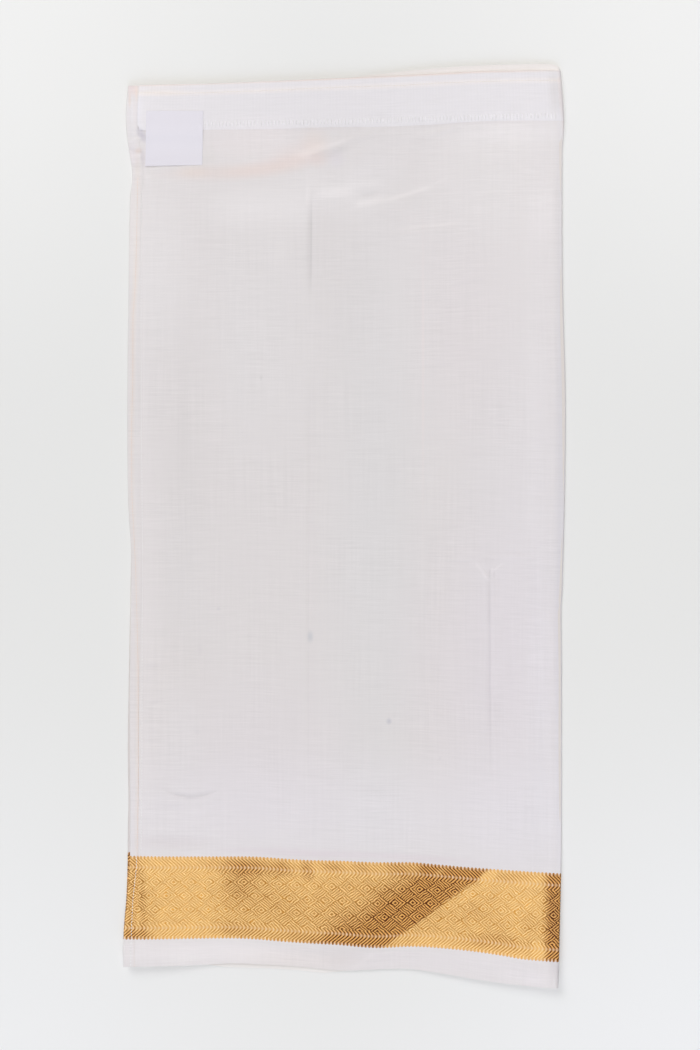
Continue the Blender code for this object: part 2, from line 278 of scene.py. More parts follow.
def curl(x, y):
    """Height by which the lower corners curl up from the surface."""
    corner = CORNER_LIFT * np.maximum(0.0, beyond_line(CORNER_CREASE, x, y) / CORNER_REACH) ** CORNER_EASE
    across = ease((x - LEFT_CURL_X[0]) / (LEFT_CURL_X[1] - LEFT_CURL_X[0]))
    down = ease((y - LEFT_CURL_Y[0]) / (LEFT_CURL_Y[1] - LEFT_CURL_Y[0]))
    return corner + LEFT_CURL_LIFT * across * down


# %% Creases
CREASES = (
    # start x, start y, end x, end y, bow, half width, height, kind, darker by percent (painted shade, and
    # painted light where below 0)
    # pressed edges of the layer below
    (-32.3, 337, -33.2, 228, 0, 6.5, -0.9, "step", 1.4),
    (-32.4, 334, -33.2, 226, 0, 5.5, 0, "edge", 6),
    (-37, 340, -36.5, 322, 0, 4, 0, "soft", -4),
    (-33.6, 232, -36.4, -326, 0.6, 2.6, -0.25, "step", 1.2),
    (146.2, -47, 145.8, -252, 0, 5, -0.3, "soft", 0.6),
    (145.4, -52, 147.4, -275, 0, 3.2, -0.24, "crisp", 3.2),
    (144.9, -42, 145.5, -104, 0, 3, -0.34, "crisp", 4.8),
    (150, -44, 150.6, -84, 0, 1.8, -0.1, "crisp", 2.2),
    # pressed across the panel
    (88, -33, 206, -31, 0, 8, 0.4, "soft", 0),
    (95.5, -36.3, 130, -36.5, 0, 1.8, -0.35, "crisp", 2.6),
    (95.5, -33.6, 128, -33.8, 0, 1.8, 0.1, "crisp", -2),
    (160, -26.2, 193, -26, 0, 1.6, -0.2, "crisp", 2.4),
    (160, -30.6, 198, -31, 0, 2.4, 0.3, "crisp", -2.6),
    (191.5, -78.2, 217, -78.5, 0, 1.8, -0.3, "crisp", 2.6),
    # the small lozenge where two pressed lines meet
    (130, -34.2, 145.6, -55.6, 0, 2.5, 0.5, "crisp", -7.6),
    (159, -36.6, 148.2, -45.6, 0, 2.3, 0.4, "crisp", -7),
    (147.6, -41.5, 147.8, -47, 0, 1.6, 0.2, "crisp", -5),
    (135.5, -33.4, 151.5, -34.6, -1, 2.2, -0.2, "crisp", 4.2),
    (145.6, -43, 145.4, -51.5, 0, 1.7, -0.3, "crisp", 8),
    (149.9, -44, 149.6, -51.5, 0, 1.7, -0.25, "crisp", 6),
    # the short bowed crease near the lower left
    (-123, -262.6, -184, -262.6, -8, 5, -0.3, "edge", 7.8),
    (-184, -262.4, -123, -262.4, 8, 2.2, -0.5, "crisp", 4.8),
    # the hem, bunched below the corner
    (-218, 384.5, -203, 388, 0, 3.2, 0.5, "soft", -4.5),
    (-218, 377.5, -202, 374, 0, 2.4, -0.5, "soft", 6),
    (-216, 369, -203, 371.5, 0, 2.8, 0.5, "soft", -4.5),
    (-214, 361.5, -203, 359.5, 0, 2.4, -0.4, "soft", 4.5),
    (-214, 352, -203, 354, 0, 3, 0.4, "soft", -3.5),
    # ridges below the stitched band, each with a lit flank and a shaded one, helped by painted light and
    # painted shade
    (-52, 366, 10, 387, 1, 10.5, 1.1, "soft", 0),
    (-47.5, 368, 4, 383.5, 1, 5, 0.45, "crisp", 0),
    (-49, 369.6, -18, 379.8, 0, 6.6, 0, "soft", -6.4),
    (-24, 377.4, 8, 387.8, 0, 3.4, 0, "soft", -5.4),
    (-33.5, 369.8, -18, 375.4, 0, 3.2, 0, "soft", 4.5),
    (-17, 370.8, 1, 377.4, 0, 5, 0, "soft", 3.2),
    (86, 332.5, 8, 313, 1, 9.5, 1, "step", 0),
    (8, 320, 40, 327, 0, 5.4, 0, "soft", -7.6),
    (34, 324.8, 92, 342, 1.2, 3.2, 0, "soft", -7.2),
    (-31, 331.5, 12, 336, 0, 9.5, 0.3, "soft", -6.4),
    (2, 341, 38, 343.5, 0, 6, 0.2, "soft", -3),
    (16, 331, 32, 333, 0, 3.6, -0.5, "soft", 5.6),
    (85, 335.8, 111, 336.2, 0, 2.8, 0, "soft", 2),
    (89.5, 342.3, 104, 348.8, 0, 1.8, 0, "crisp", -4),
    (119, 299, 50, 290.3, 1, 8, 0.7, "step", 0),
    (47, 296.2, 126, 304.6, -0.4, 2.5, 0, "soft", -6.4),
    (99, 315, 122, 315.6, 0, 2, 0, "soft", 2.6),
    (82, 391, 117, 401, 0, 5, 0.6, "soft", 0),
    (66, 394, 106, 393, 0, 4, 0, "soft", -2.4),
    (-10, 384, 40, 396, 1, 5, 0.4, "soft", 0),
    # where the border is bent over
    (104, -322, -34, -436, 0, 34, 2.2, "soft", 0),
    (-206, -318, -132, -316, 0, 10, -0.8, "soft", 0),
    (36, -421, 6, -446, 0, 3.6, 0.25, "soft", -2.6),
    # nicks where the fold was creased before
    (212, -26, 222, -26, 0, 2.6, -0.5, "crisp", 3),
    (212, -82, 222, -82, 0, 3, -0.6, "crisp", 3),
    (213, 421, 222, 421, 0, 3.4, -0.5, "crisp", 2),
)
PROFILES = {
    "soft": hump,
    "crisp": peak,
    # a slope up to the line on one side and a drop on the other
    "edge": lambda share: np.clip(1.0 - np.maximum(share, -share * 7.0), 0.0, 1.0),
    # a steep flank on one side of the line and a long gentle one on the other
    "step": lambda share: np.clip(1.0 - np.maximum(share, -share / 5.0), 0.0, 1.0) ** 1.5,
}
SWELLS = (
    # wavelength across, wavelength along, phase, height
    (173.0, 311.0, 0.6, 0.16),
    (97.0, -241.0, 2.1, 0.11),
    (-61.0, 149.0, 4.0, 0.06),
)


def crease_share(crease, x, y):
    """How much of a crease lies at x, y: 1 on its line and 0 away from it."""
    x0, y0, x1, y1, bow, half_width, _, kind, _ = crease
    length = math.hypot(x1 - x0, y1 - y0)
    run = ((x - x0) * (x1 - x0) + (y - y0) * (y1 - y0)) / length
    aside = ((x - x0) * (y1 - y0) - (y - y0) * (x1 - x0)) / length
    share = np.clip(run / length, 0.0, 1.0)
    aside = aside - bow * 4.0 * share * (1.0 - share)
    end_to_end = (run - length / 2) / (length / 2 + min(half_width, 6.0))
    return PROFILES[kind](aside / half_width) * np.clip(1.5 * hump(end_to_end), 0.0, 1.0)


def swell(x, y):
    """Gentle rise and fall of the whole panel."""
    return sum(height * np.sin(math.tau * (x / a + y / b) + phase) for a, b, phase, height in SWELLS)


def level_x(x, y):
    """x, held where the height stops changing beside the fold."""
    return np.minimum(x, along(RIGHT_EDGE, y) - FOLD_CLEAR)


def under(x, y):
    """Height of the cloth's underside."""
    return UNDER_SHARE * curl(level_x(x, y), y)


def inside(x, y):
    """0 along the left, right and lower edges, and 1 well inside them."""
    from_left = ease((x - along(LEFT_EDGE, y)) / TAPER)
    from_right = ease((along(RIGHT_EDGE, y) - FOLD_CLEAR - x) / TAPER)
    from_bottom = ease((y - along(BOTTOM_EDGE, x)) / TAPER)
    return from_left * from_right * from_bottom


def face(x, y):
    """Height of the outer face of the upper panel."""
    flat_x = level_x(x, y)
    stack = EDGE_STACK + (STACK - EDGE_STACK) * inside(flat_x, y)
    band = ease((y - along(BAND_LOW, flat_x) + BAND_SLOPE) / (BAND_SLOPE + BAND_CREST))
    creases = sum(crease[6] * crease_share(crease, flat_x, y) for crease in CREASES)
    return stack + BAND_RISE * band + curl(flat_x, y) + creases + swell(flat_x, y)


def fold_radius(y):
    """Radius of the right-hand fold."""
    band = ease((y - BAND_LOW[-1][1] + BAND_SLOPE) / (BAND_SLOPE + BAND_CREST))
    lifted = (1.0 - UNDER_SHARE) * curl(along(RIGHT_EDGE, y) - FOLD_CLEAR, y)
    return (EDGE_STACK + BAND_RISE * band + lifted) / 2


def plan_x(nominal, y):
    """x of a column: straight inside the cloth, and following its two edges near them."""
    share = (nominal - NOMINAL_LEFT) / (NOMINAL_RIGHT - NOMINAL_LEFT)
    left_shift = along(LEFT_EDGE, y) - NOMINAL_LEFT
    right_shift = along(RIGHT_EDGE, y) - fold_radius(y) - NOMINAL_RIGHT
    return nominal + left_shift * (1.0 - share) ** EDGE_FADE + right_shift * share**EDGE_FADE


print("creases:", len(CREASES), "- height at the middle:", round(float(face(0.0, 0.0)), 2), "mm")

# %% [markdown]
# ## How finely the cloth is divided
#
# A crisp crease needs points every millimetre, a plain stretch only every few. Each direction has one list of
# stations, closer together inside the spans that a small table names. All the woven stretches share the same
# columns, so that they meet point to point and no seam shows where the weave only changes colour.

# %% Stations
TUCK = 2.5
COLUMN_STEP = 3.6
FINE_COLUMNS = (
    # from x, to x, step
    (-208.0, -205.5, 1.25),
    (-205.5, -196.0, 1.1),
    (-182.0, -126.0, 2.2),
    (-41.0, -37.5, 1.2),
    (-37.5, -30.5, 0.7),
    (-30.5, -26.0, 1.5),
    (132.0, 142.0, 1.3),
    (142.0, 151.8, 0.7),
    (151.8, 157.0, 1.3),
    (202.0, 214.0, 1.6),
)
GROUND_LOW = -336.0
GROUND_HIGH = 400.0
ROW_STEP = 6.0
FINE_ROWS = (
    # from y, to y, step
    (-336.0, -310.0, 2.6),
    (-276.0, -258.0, 1.1),
    (-86.0, -78.0, 1.6),
    (-56.0, -22.0, 1.1),
    (286.0, 376.0, 1.9),
    (376.0, 400.0, 1.3),
)
UNDER_STEP = 18.0
FOLD_STEPS = 14


def stations(start, end, step, fine_spans):
    """Places from start to end, a step apart, and closer together inside the fine spans."""
    places = [start]
    while True:
        here = places[-1]
        pace = next((fine for low, high, fine in fine_spans if low <= here < high), step)
        starts = [low for low, _, _ in fine_spans if here < low < here + pace]
        places.append(min(starts + [here + pace]))
        if end - places[-1] < pace / 2:
            places[-1] = end
            return np.array(places)


def shares(places):
    """The same places as shares of the way from the first to the last."""
    return (places - places[0]) / (places[-1] - places[0])


COLUMNS = stations(NOMINAL_LEFT + HEM_WIDTH - TUCK, NOMINAL_RIGHT, COLUMN_STEP, FINE_COLUMNS)
UNDER_COLUMNS = stations(NOMINAL_LEFT, NOMINAL_RIGHT, UNDER_STEP, ())[::-1]
GROUND_ROWS = stations(GROUND_LOW, GROUND_HIGH, ROW_STEP, FINE_ROWS)
STRETCHES = {
    # stretch: lower outline, upper outline, its rows as shares, its first and last place along the weave
    "selvedge": (BOTTOM_EDGE, ZARI_LOW, np.linspace(0.0, 1.0, 13), -440.0, -414.0),
    "zari": (ZARI_LOW, ZARI_HIGH, np.linspace(0.0, 1.0, 37), -414.0, -331.0),
    "ground": (ZARI_HIGH, BAND_LOW, shares(GROUND_ROWS), -331.0, 398.0),
    "band": (BAND_LOW, TOP_EDGE, np.linspace(0.0, 1.0, 25), 398.0, 446.0),
}
print("columns:", len(COLUMNS), "rows:", {name: len(s[2]) for name, s in STRETCHES.items()})

# %% [markdown]
# ## From points to cloth
#
# A sheet starts as Blender's own grid. Its corners are then put where the arrays of x, y and z say, a UV map
# keeps each point's place in the weave, in millimetres, and a Solidify modifier gives it the thickness of
# fine cloth. Colour that changes slowly over the cloth is kept as a colour on each point.

# %% Sheet maker
COLLECTION = bpy.data.collections.new("dressed_dhoti")
bpy.context.scene.collection.children.link(COLLECTION)


def to_mesh(name, bm):
    mesh = bpy.data.meshes.new(name)
    bm.to_mesh(mesh)
    bm.free()
    return mesh


def add_mesh(name, mesh, material):
    mesh.materials.append(material)
    item = bpy.data.objects.new(name, mesh)
    COLLECTION.objects.link(item)
    return item


def make_sheet(name, points, weave, material, thickness=CLOTH_THICKNESS, colours=None):
    """Cloth from arrays of x, y, z and of weave places u, v, all of columns by rows."""
    columns, rows = points[0].shape
    bm = bmesh.new()
    bmesh.ops.create_grid(bm, x_segments=columns - 1, y_segments=rows - 1, size=0.5)
    for edge in bm.edges:
        edge.smooth = not edge.is_boundary
    mesh = to_mesh(name, bm)
    count = len(mesh.vertices)
    flat = np.empty(count * 3)
    mesh.vertices.foreach_get("co", flat)
    flat = flat.reshape(-1, 3)
    column = np.rint((flat[:, 0] + 0.5) * (columns - 1)).astype(int)
    row = np.rint((flat[:, 1] + 0.5) * (rows - 1)).astype(int)
    placed = np.stack([axis[column, row] for axis in points], axis=1) * MM
    mesh.vertices.foreach_set("co", placed.ravel())
    corner = np.empty(len(mesh.loops), dtype=int)
    mesh.loops.foreach_get("vertex_index", corner)
    uv = np.stack([axis[column, row] for axis in weave], axis=1)[corner]
    layer = mesh.uv_layers.new(name="weave")
    layer.data.foreach_set("uv", uv.ravel())
    for colour_name, colour in (colours or {}).items():
        values = np.ones((count, 4))
        values[:, :3] = colour[column, row]
        attribute = mesh.attributes.new(colour_name, "FLOAT_COLOR", "POINT")
        attribute.data.foreach_set("color", values.ravel())
    mesh.shade_smooth()
    mesh.update()
    item = add_mesh(name, mesh, material)
    if thickness:
        solidify = item.modifiers.new("cloth thickness", "SOLIDIFY")
        solidify.thickness = thickness * MM
        solidify.offset = -1.0
    return item


def dress(item, slot, *nodes):
    """Ties a piece to the one rigid body and hides the solids of the model that it stands for. slot, its
    finish, is not used.
    """
    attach(item, "root")
    if nodes:
        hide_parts(*nodes)
    print(item.name, "-", len(item.data.vertices), "points before thickness")
    return item


# %% [markdown]
# ## Soft tints, painted light and painted shade
#
# White cloth is never one white. This one has faint pink, beige and grey zones, and where a layer
# beneath is printed or sewn, it shows through as a tint. Many rows paint light and shade instead: sheen on
# the raised parts, shade along the folds and beside the label and the band, light on the selvedge strip.
# Each row below is one soft oval: its centre, its half sizes, its turn in degrees, and how many percent it
# adds to red, green and blue.

# %% Tint tables
TINTS_AND_PAINTED_LIGHT = (
    # x, y, half width, half height, turn, red, green, blue
    # the peach print of a layer beneath, showing through below the band
    (-118, 354, 66, 9, 2, 1.8, -3, -5.4),
    (-152, 355, 18, 7, 0, 1.4, -1, -3.4),
    (-66, 361, 54, 9, 9, 2.2, -3, -5),
    (-46, 372, 32, 13, 14, 2.2, -2.2, -3.8),
    (-30, 386, 15, 13, 0, 3.2, 0, -2.6),
    (-26, 366, 9, 9, 0, 0.6, -2.6, -3.6),
    (-8, 367, 9, 10, 0, -2, -2.4, 0.6),
    # cooler and warmer zones of the plain ground, and lighter and darker ones that are painted sheen and
    # painted shade
    (30, -20, 52, 330, 0, -1.9, -0.2, 0.2),
    (-150, 150, 38, 150, 0, -1, -1.8, -2),
    (-158, -20, 24, 240, 0, -1.3, -0.9, -0.9),
    (120, 200, 52, 120, 0, -0.6, -1.8, -1.2),
    (140, -140, 90, 150, 0, 0.6, -0.8, 1),
    (-90, -230, 110, 90, 0, 0.4, -0.4, 1.4),
    (182, 60, 34, 330, 0, 1.6, 1.4, 1.6),
    (-76, 310, 52, 90, 8, 2, 2.2, 2.2),
    (150, 340, 60, 60, 0, 2, 2.4, 2.2),
    (160, 388, 70, 20, 3, 3, 3.2, 3),
    (30, 360, 36, 26, 20, 0.8, 1.2, 1.8),
    (-15, 335, 60, 30, 0, 4, 4.6, 5),
    (-46, 306, 15, 22, 0, 1.6, 1.8, 1.8),
    (0, 240, 40, 60, 0, -1, -1, -1),
    (-165, -165, 34, 62, 0, -0.6, -1.6, -2.2),
    (-161, 102, 7, 84, 0, -2, -2, -2),
    (0, -292, 330, 64, 0, 3.4, 4, 6.8),
    (186, -110, 80, 300, 0, 1.2, 1.8, 4.4),
    (196, 150, 16, 330, 0, 4.4, 4.6, 5.2),
    (198, -190, 16, 150, 0, 3, 3.6, 4.4),
    (120, 240, 110, 190, 0, 2.8, 3, 3.4),
    (-110, 180, 100, 120, 0, 2.2, 3, 3.4),
    (-186, 262, 40, 90, 0, 4.2, 4.8, 5),
    (-92, 318, 58, 22, 0, 5.4, 5.8, 6.2),
    (-92, 385, 60, 24, 2, 5.2, 3.6, 3.8),
    (172, 396, 66, 14, 3, 4.6, 4.6, 5),
    (200, 312, 16, 30, 0, 4, 4, 4.2),
    (-202, -70, 22, 270, 0, 2.4, 2.2, 2.2),
    (-165, -190, 26, 56, 0, 2.4, 3.4, 3.8),
    # painted shade along the right-hand fold
    (217, 20, 7, 480, 0, -5.4, -4.4, -2),
    # painted shade on the border where it turns over the fold
    (209.5, -392, 7, 40, 0, -16, -16, -6),
    # a warm shade above the border, where the layers beneath end
    (-172, -316, 44, 8, 0, -4, -5.4, -5.4),
    (-40, -327, 90, 5, -2, -2, -5.6, -3.6),
    (80, -333, 60, 5, -4, -2, -5, -3.4),
    # painted light on the selvedge strip, and painted shade along the crease that crosses it
    (-140, -425, 90, 15, 0, 11, 10.6, 10.4),
    (60, -432, 170, 16, 0, 2.4, 2, 2.6),
    (-2, -430, 26, 14, 0, -2.4, -3.2, -4),
    # the hem: whiter beside the band, red at its upper corner, lighter below the label
    (-211, 414, 9, 30, 0, 5, 6, 8.6),
    (-212, 437, 7, 8, 0, 1.4, -6, -7),
    (-214.6, 426, 1.8, 8, 0, 3, -3.4, -10),
    (-207.6, 432, 1.6, 9, 0, 3, -2, -7),
    (-211, 300, 9, 64, 0, 5, 4.2, 3),
    (-211.5, 372, 8, 12, 0, 3, 1, 3.6),
    (-206, 376, 4, 3, 10, 2, -4, -9),
    # the lower edge of the band: a thin shade, and a lit line under it at the right
    (150, 403.4, 66, 1.3, 1, -4, -4.6, -4),
    (-30, 396.6, 50, 1.3, 1.2, -4, -4.4, -3.6),
    (164, 400.6, 16, 1.4, 0.6, 3, 3, 3),
    # warm white beside the upper stitches at the left of the band
    (-186, 434, 30, 4.5, -1, 2.6, 0.6, -3),
    (-186, 441, 34, 4, 0, 3.4, 1, -1),
    (-60, 443, 170, 6, 2, 2.2, 1.8, 1.4),
    # shade beside the label, where the hem is bunched
    (-202.4, 391, 4, 8.4, 32, -19, -19, -12),
    (-201.6, 369, 2.6, 11, 5, -10, -11, -8),
    (-207, 412, 1.5, 18, -2, -6, -6, -5),
    (-197, 349.5, 4, 2.4, 0, 5, 5, 5),
    (-140, 372, 12, 14, 0, -2, -1.6, -2.4),
    # painted shade on the inner side of the fold at the band, and at the selvedge
    (209.5, 436, 6.5, 26, 4, -8, -8.6, -10),
    (216.4, 430, 2.6, 34, 5, -4, -8, -11),
    (210, -440, 6.5, 14, 5, -8, -8.5, -8),
    # more painted light and tint on the selvedge strip
    (190, -451, 15, 9, 0, 4.2, 3.8, 5),
    (-52, -434, 62, 12, -4, 2.8, 1.2, -0.6),
    (-160, -433, 26, 8, 0, 2, 2.4, 2),
    (166, -448, 15, 7, 0, 2.4, 2.2, 2.8),
)


OVAL_REACH = 1.35


def soft_ovals(table, x, y):
    """Sum of soft ovals at each x, y. A row's values after its first five are what it adds."""
    total = 0.0
    for centre_x, centre_y, half_width, half_height, turn, *amounts in table:
        turned = math.radians(turn)
        across = (x - centre_x) * math.cos(turned) + (y - centre_y) * math.sin(turned)
        upward = (y - centre_y) * math.cos(turned) - (x - centre_x) * math.sin(turned)
        reach = np.hypot(across / half_width, upward / half_height)
        total = total + hump(reach / OVAL_REACH)[..., None] * np.array(amounts)
    return total


def tint_and_painted_light(x, y):
    """Colour of the ground at each x, y, round 1: its tints and painted light, with painted shade inside the
    pressed creases.
    """
    shade = sum(crease[8] * crease_share(crease, x, y) for crease in CREASES)
    return 1.0 + (soft_ovals(TINTS_AND_PAINTED_LIGHT, x, y) - shade[..., None]) / 100.0


# %% [markdown]
# The gold thread is a flat metal strip wound round silk. Where the cloth tips towards the dark side of the
# room the strip reflects dark and turns brown, and only the silk stays pale; here that is painted shade in
# its colour. The next table says where the painted shade goes: along the crease that crosses the border, at
# the fold, and in a few soft patches, some of them painted light.

# %% Painted shade of the gold thread
GOLD_SHADE_PATCHES = (
    # x, y, half width, half height, turn, how dark the painted shade is (painted light where below 0)
    (-92, -341, 50, 10, -4, 0.5),
    (-104, -350, 18, 26, -20, 0.26),
    (-112, -374, 24, 34, -8, 0.17),
    (-78, -372, 46, 30, -35, 0.26),
    (-62, -341, 12, 8, -50, 0.3),
    (-37, -343, 7, 13, 12, 0.5),
    (-12, -341, 14, 6, -10, 0.4),
    (16, -340, 9, 6, -30, 0.26),
    (-208, -409, 17, 9, 6, 0.64),
    (-202, -376, 4.5, 46, 3, 0.42),
    (-193, -386, 8, 30, 0, 0.14),
    (-106, -404, 28, 9, -3, 0.36),
    (-10, -414, 74, 8, -4, 0.26),
    (6, -380, 50, 30, 0, 0.12),
    (60, -394, 34, 22, 32, 0.24),
    (52, -341, 16, 8, -30, 0.32),
    (84, -343, 13, 9, -40, 0.45),
    (96, -345, 4, 12, -50, -0.55),
    (116, -348, 24, 8, -14, 0.6),
    (100, -392, 44, 18, 20, 0.16),
    (138, -388, 30, 17, 30, 0.15),
    (17, -383, 20, 23, 30, -0.2),
    (80, -345, 24, 6, -6, -0.16),
    (162, -350, 26, 8, -4, 0.24),
    (144, -348.5, 8.5, 6, 20, -0.8),
    (-24, -410, 22, 8, -3, -0.13),
    (126, -415, 30, 8, -8, 0.2),
    (156, -403, 20, 15, 0, 0.14),
    (124, -358, 10, 6, 30, 0.14),
    (158, -416, 36, 10, -8, 0.34),
    (186, -398, 12, 16, 40, 0.2),
    (196, -424, 8, 10, 0, -0.3),
)
SHADE_LINE = (136.3, -352.5, 10.5, -443.8)
SHADE_NEAR = (26.0, 38.0, 0.8)
SHADE_FAR = (40.0, 80.0, 0.25)
SHADE_EDGE = 4.0
SHADE_LEAST = 0.06
SHADE_DEPTH = 0.92
FOLD_SHADE_REACH = 21.0
FOLD_SHADE_RAMP = 12.0


def lie(x, y):
    """Painted shade of the gold: 0 where the thread catches the light and 1 where it turns dark."""
    past = beyond_line(SHADE_LINE, x, y)
    crease = sum(share * (1.0 - ease((-past - start) / fade)) for start, fade, share in (SHADE_NEAR, SHADE_FAR))
    crease = crease * (1.0 - ease((past + SHADE_EDGE) / SHADE_EDGE))
    fold = ease((FOLD_SHADE_REACH - along(RIGHT_EDGE, y) + x) / FOLD_SHADE_RAMP)
    shade_patches = soft_ovals(GOLD_SHADE_PATCHES, x, y)[..., 0]
    return np.clip(SHADE_LEAST + SHADE_DEPTH * crease + fold + shade_patches, 0.0, 1.0)


def as_grey(value):
    return np.repeat(value[..., None], 3, axis=-1)


print("tints:", len(TINTS_AND_PAINTED_LIGHT), "dents:", len(GOLD_SHADE_PATCHES))

# %% [markdown]
# ## Shader groups
#
# Effects that several finishes share are node groups, each with named inputs. A group only gives out colours,
# masks, values and heights; the shader itself stays in each material. Small helpers write the nodes: one puts
# a node in place, one does sums, and the rest are the few effects that come back again and again.


# %% Node helpers
def feed(tree, socket, value):
    """Gives an input a value, or links another node's output to it."""
    if isinstance(value, bpy.types.NodeSocket):
        tree.links.new(value, socket)
    else:
        socket.default_value = value


def put(tree, node_type, settings=None, **inputs):
    """A node of one type, with its settings, and its inputs given as numbers or outputs."""
    node = tree.nodes.new(node_type)
    for key, value in (settings or {}).items():
        setattr(node, key, value)
    for key, value in inputs.items():
        feed(tree, node.inputs[key.replace("_", " ")], value)
    return node


def calc_node(tree, node_type, operation, values):
    node = put(tree, node_type, {"operation": operation})
    for socket, value in zip(node.inputs, values):
        feed(tree, socket, value)
    return node.outputs


def calc(tree, operation, *values):
    """A Math node. Each value is a number or another node's output."""
    return calc_node(tree, "ShaderNodeMath", operation, values)[0]


def vector_calc(tree, operation, *values, result="Vector"):
    """A Vector Math node."""
    return calc_node(tree, "ShaderNodeVectorMath", operation, values)[result]


def short_sums(tree):
    """Short calls for the commonest Math nodes of a tree: a + b, a - b, a * b and a * b + c."""
    return (partial(calc, tree, name) for name in ("ADD", "SUBTRACT", "MULTIPLY", "MULTIPLY_ADD"))


# %% Helpers for places, noise and colours
def split(tree, vector):
    """The x, y and z of a vector."""
    return put(tree, "ShaderNodeSeparateXYZ", Vector=vector).outputs


def noise(tree, place, scale, detail, **more):
    """Noise round 0.5, its features about 1 / scale millimetres wide."""
    return put(tree, "ShaderNodeTexNoise", Vector=place, Scale=scale, Detail=detail, **more).outputs[0]


def smooth_step(tree, value, low=0.0, high=1.0):
    """0 below low and 1 above high, with a smooth rise between."""
    settings = {"interpolation_type": "SMOOTHSTEP"}
    return put(tree, "ShaderNodeMapRange", settings, Value=value, From_Min=low, From_Max=high).outputs[0]


def soft_edge(tree, value, reach):
    """1 where value is 0, falling smoothly to 0 at reach."""
    away = calc(tree, "DIVIDE", calc(tree, "ABSOLUTE", value), reach)
    return smooth_step(tree, calc(tree, "SUBTRACT", 1.0, away))


def blend_colours(tree, share, first, second, blend_type="MIX"):
    """Mix node for colours."""
    node = put(tree, "ShaderNodeMix", {"data_type": "RGBA", "blend_type": blend_type})
    factor = next(s for s in node.inputs if s.name == "Factor" and s.type == "VALUE")
    colour_sockets = [s for s in node.inputs if s.type == "RGBA"]
    for socket, value in zip([factor] + colour_sockets, (share, first, second)):
        feed(tree, socket, value)
    return next(s for s in node.outputs if s.type == "RGBA")


def tinted(tree, first, second):
    """One colour multiplied by another."""
    return blend_colours(tree, 1.0, first, second, "MULTIPLY")


def grey(tree, value):
    return put(tree, "ShaderNodeCombineColor", Red=value, Green=value, Blue=value).outputs[0]


# %% Group maker
def new_group(name, inputs, outputs):
    """Empty shader group with named sockets: (name, type, default) in and (name, type) out."""
    group = bpy.data.node_groups.new(name, "ShaderNodeTree")
    for socket_name, kind, value in inputs:
        socket = group.interface.new_socket(socket_name, in_out="INPUT", socket_type=kind)
        if value is not None:
            socket.default_value = value
    for socket_name, kind in outputs:
        group.interface.new_socket(socket_name, in_out="OUTPUT", socket_type=kind)
    start = group.nodes.new("NodeGroupInput")
    end = group.nodes.new("NodeGroupOutput")
    return group, start.outputs, end.inputs


def give_out(group, out, **results):
    """Links a group's results to its outputs."""
    for key, value in results.items():
        group.links.new(value, out[key])
    return group


FLOAT = "NodeSocketFloat"
VECTOR = "NodeSocketVector"
COLOUR = "NodeSocketColor"

# %% [markdown]
# ### Plain weave
#
# Fine plain weave is a grid of threads a third of a millimetre apart. From a step away only their unevenness
# shows: streaks along the weft and fainter ones along the warp, made by noise stretched one way. The group
# also gives the height of single threads, for close views.

# %% Plain weave group
STREAKS = (
    # thread, stretch along u, stretch along v, seed, detail
    (0.018, 0.42, 3.0, 3.0),
    (0.38, 0.012, 17.0, 3.0),
    (0.05, 1.1, 9.0, 1.0),
)
WARP_SHARE = 0.75
FINE_WEFT_SHARE = 0.8
PATCH_SCALE = 0.014
PATCH_SWING = (2.6, -0.35)
CROSSING_SHARE = 0.35


def make_plain_weave():
    group, given, out = new_group(
        "plain weave",
        [("Weave", VECTOR, None), ("Streaks", FLOAT, 0.02), ("Thread pitch", FLOAT, 0.36)],
        [("Shade", FLOAT), ("Height", FLOAT)],
    )
    plus, minus, times, times_plus = short_sums(group)
    u, v, _ = split(group, given["Weave"])

    def streak(stretch_u, stretch_v, seed, detail):
        stretched = put(group, "ShaderNodeCombineXYZ", X=times(u, stretch_u), Y=times(v, stretch_v), Z=seed)
        return minus(noise(group, stretched.outputs[0], 1.0, detail, Roughness=0.6), 0.5)

    weft, warp, fine_weft = (streak(*row) for row in STREAKS)
    both = times_plus(fine_weft, FINE_WEFT_SHARE, times_plus(warp, WARP_SHARE, weft))
    both = times(both, times_plus(noise(group, given["Weave"], PATCH_SCALE, 1.0), *PATCH_SWING))
    turns = calc(group, "DIVIDE", math.tau, given["Thread pitch"])
    over_u, over_v = (calc(group, "SINE", times(place, turns)) for place in (u, v))
    height = times_plus(times(over_u, over_v), CROSSING_SHARE, both)
    return give_out(group, out, Shade=times_plus(both, given["Streaks"], 1.0), Height=height)


PLAIN_WEAVE = make_plain_weave()

# %% [markdown]
# ### Marks
#
# A faint line is a thick thread, the edge of a layer below seen through the cloth, or painted shade along a
# pressed crease. A spot is a knot or a stain. Both groups take a place in millimetres and give a soft mask.


# %% Mark groups
def make_line_mark():
    group, given, out = new_group(
        "line mark",
        [("Place", VECTOR, None), ("Across at", FLOAT, 0.0), ("Along at", FLOAT, 0.0),
         ("Half length", FLOAT, 50.0), ("Half width", FLOAT, 1.0)],
        [("Mask", FLOAT)],
    )
    x, y, _ = split(group, given["Place"])
    across = soft_edge(group, calc(group, "SUBTRACT", x, given["Across at"]), given["Half width"])
    along_it = soft_edge(group, calc(group, "SUBTRACT", y, given["Along at"]), given["Half length"])
    return give_out(group, out, Mask=calc(group, "MULTIPLY", across, along_it))


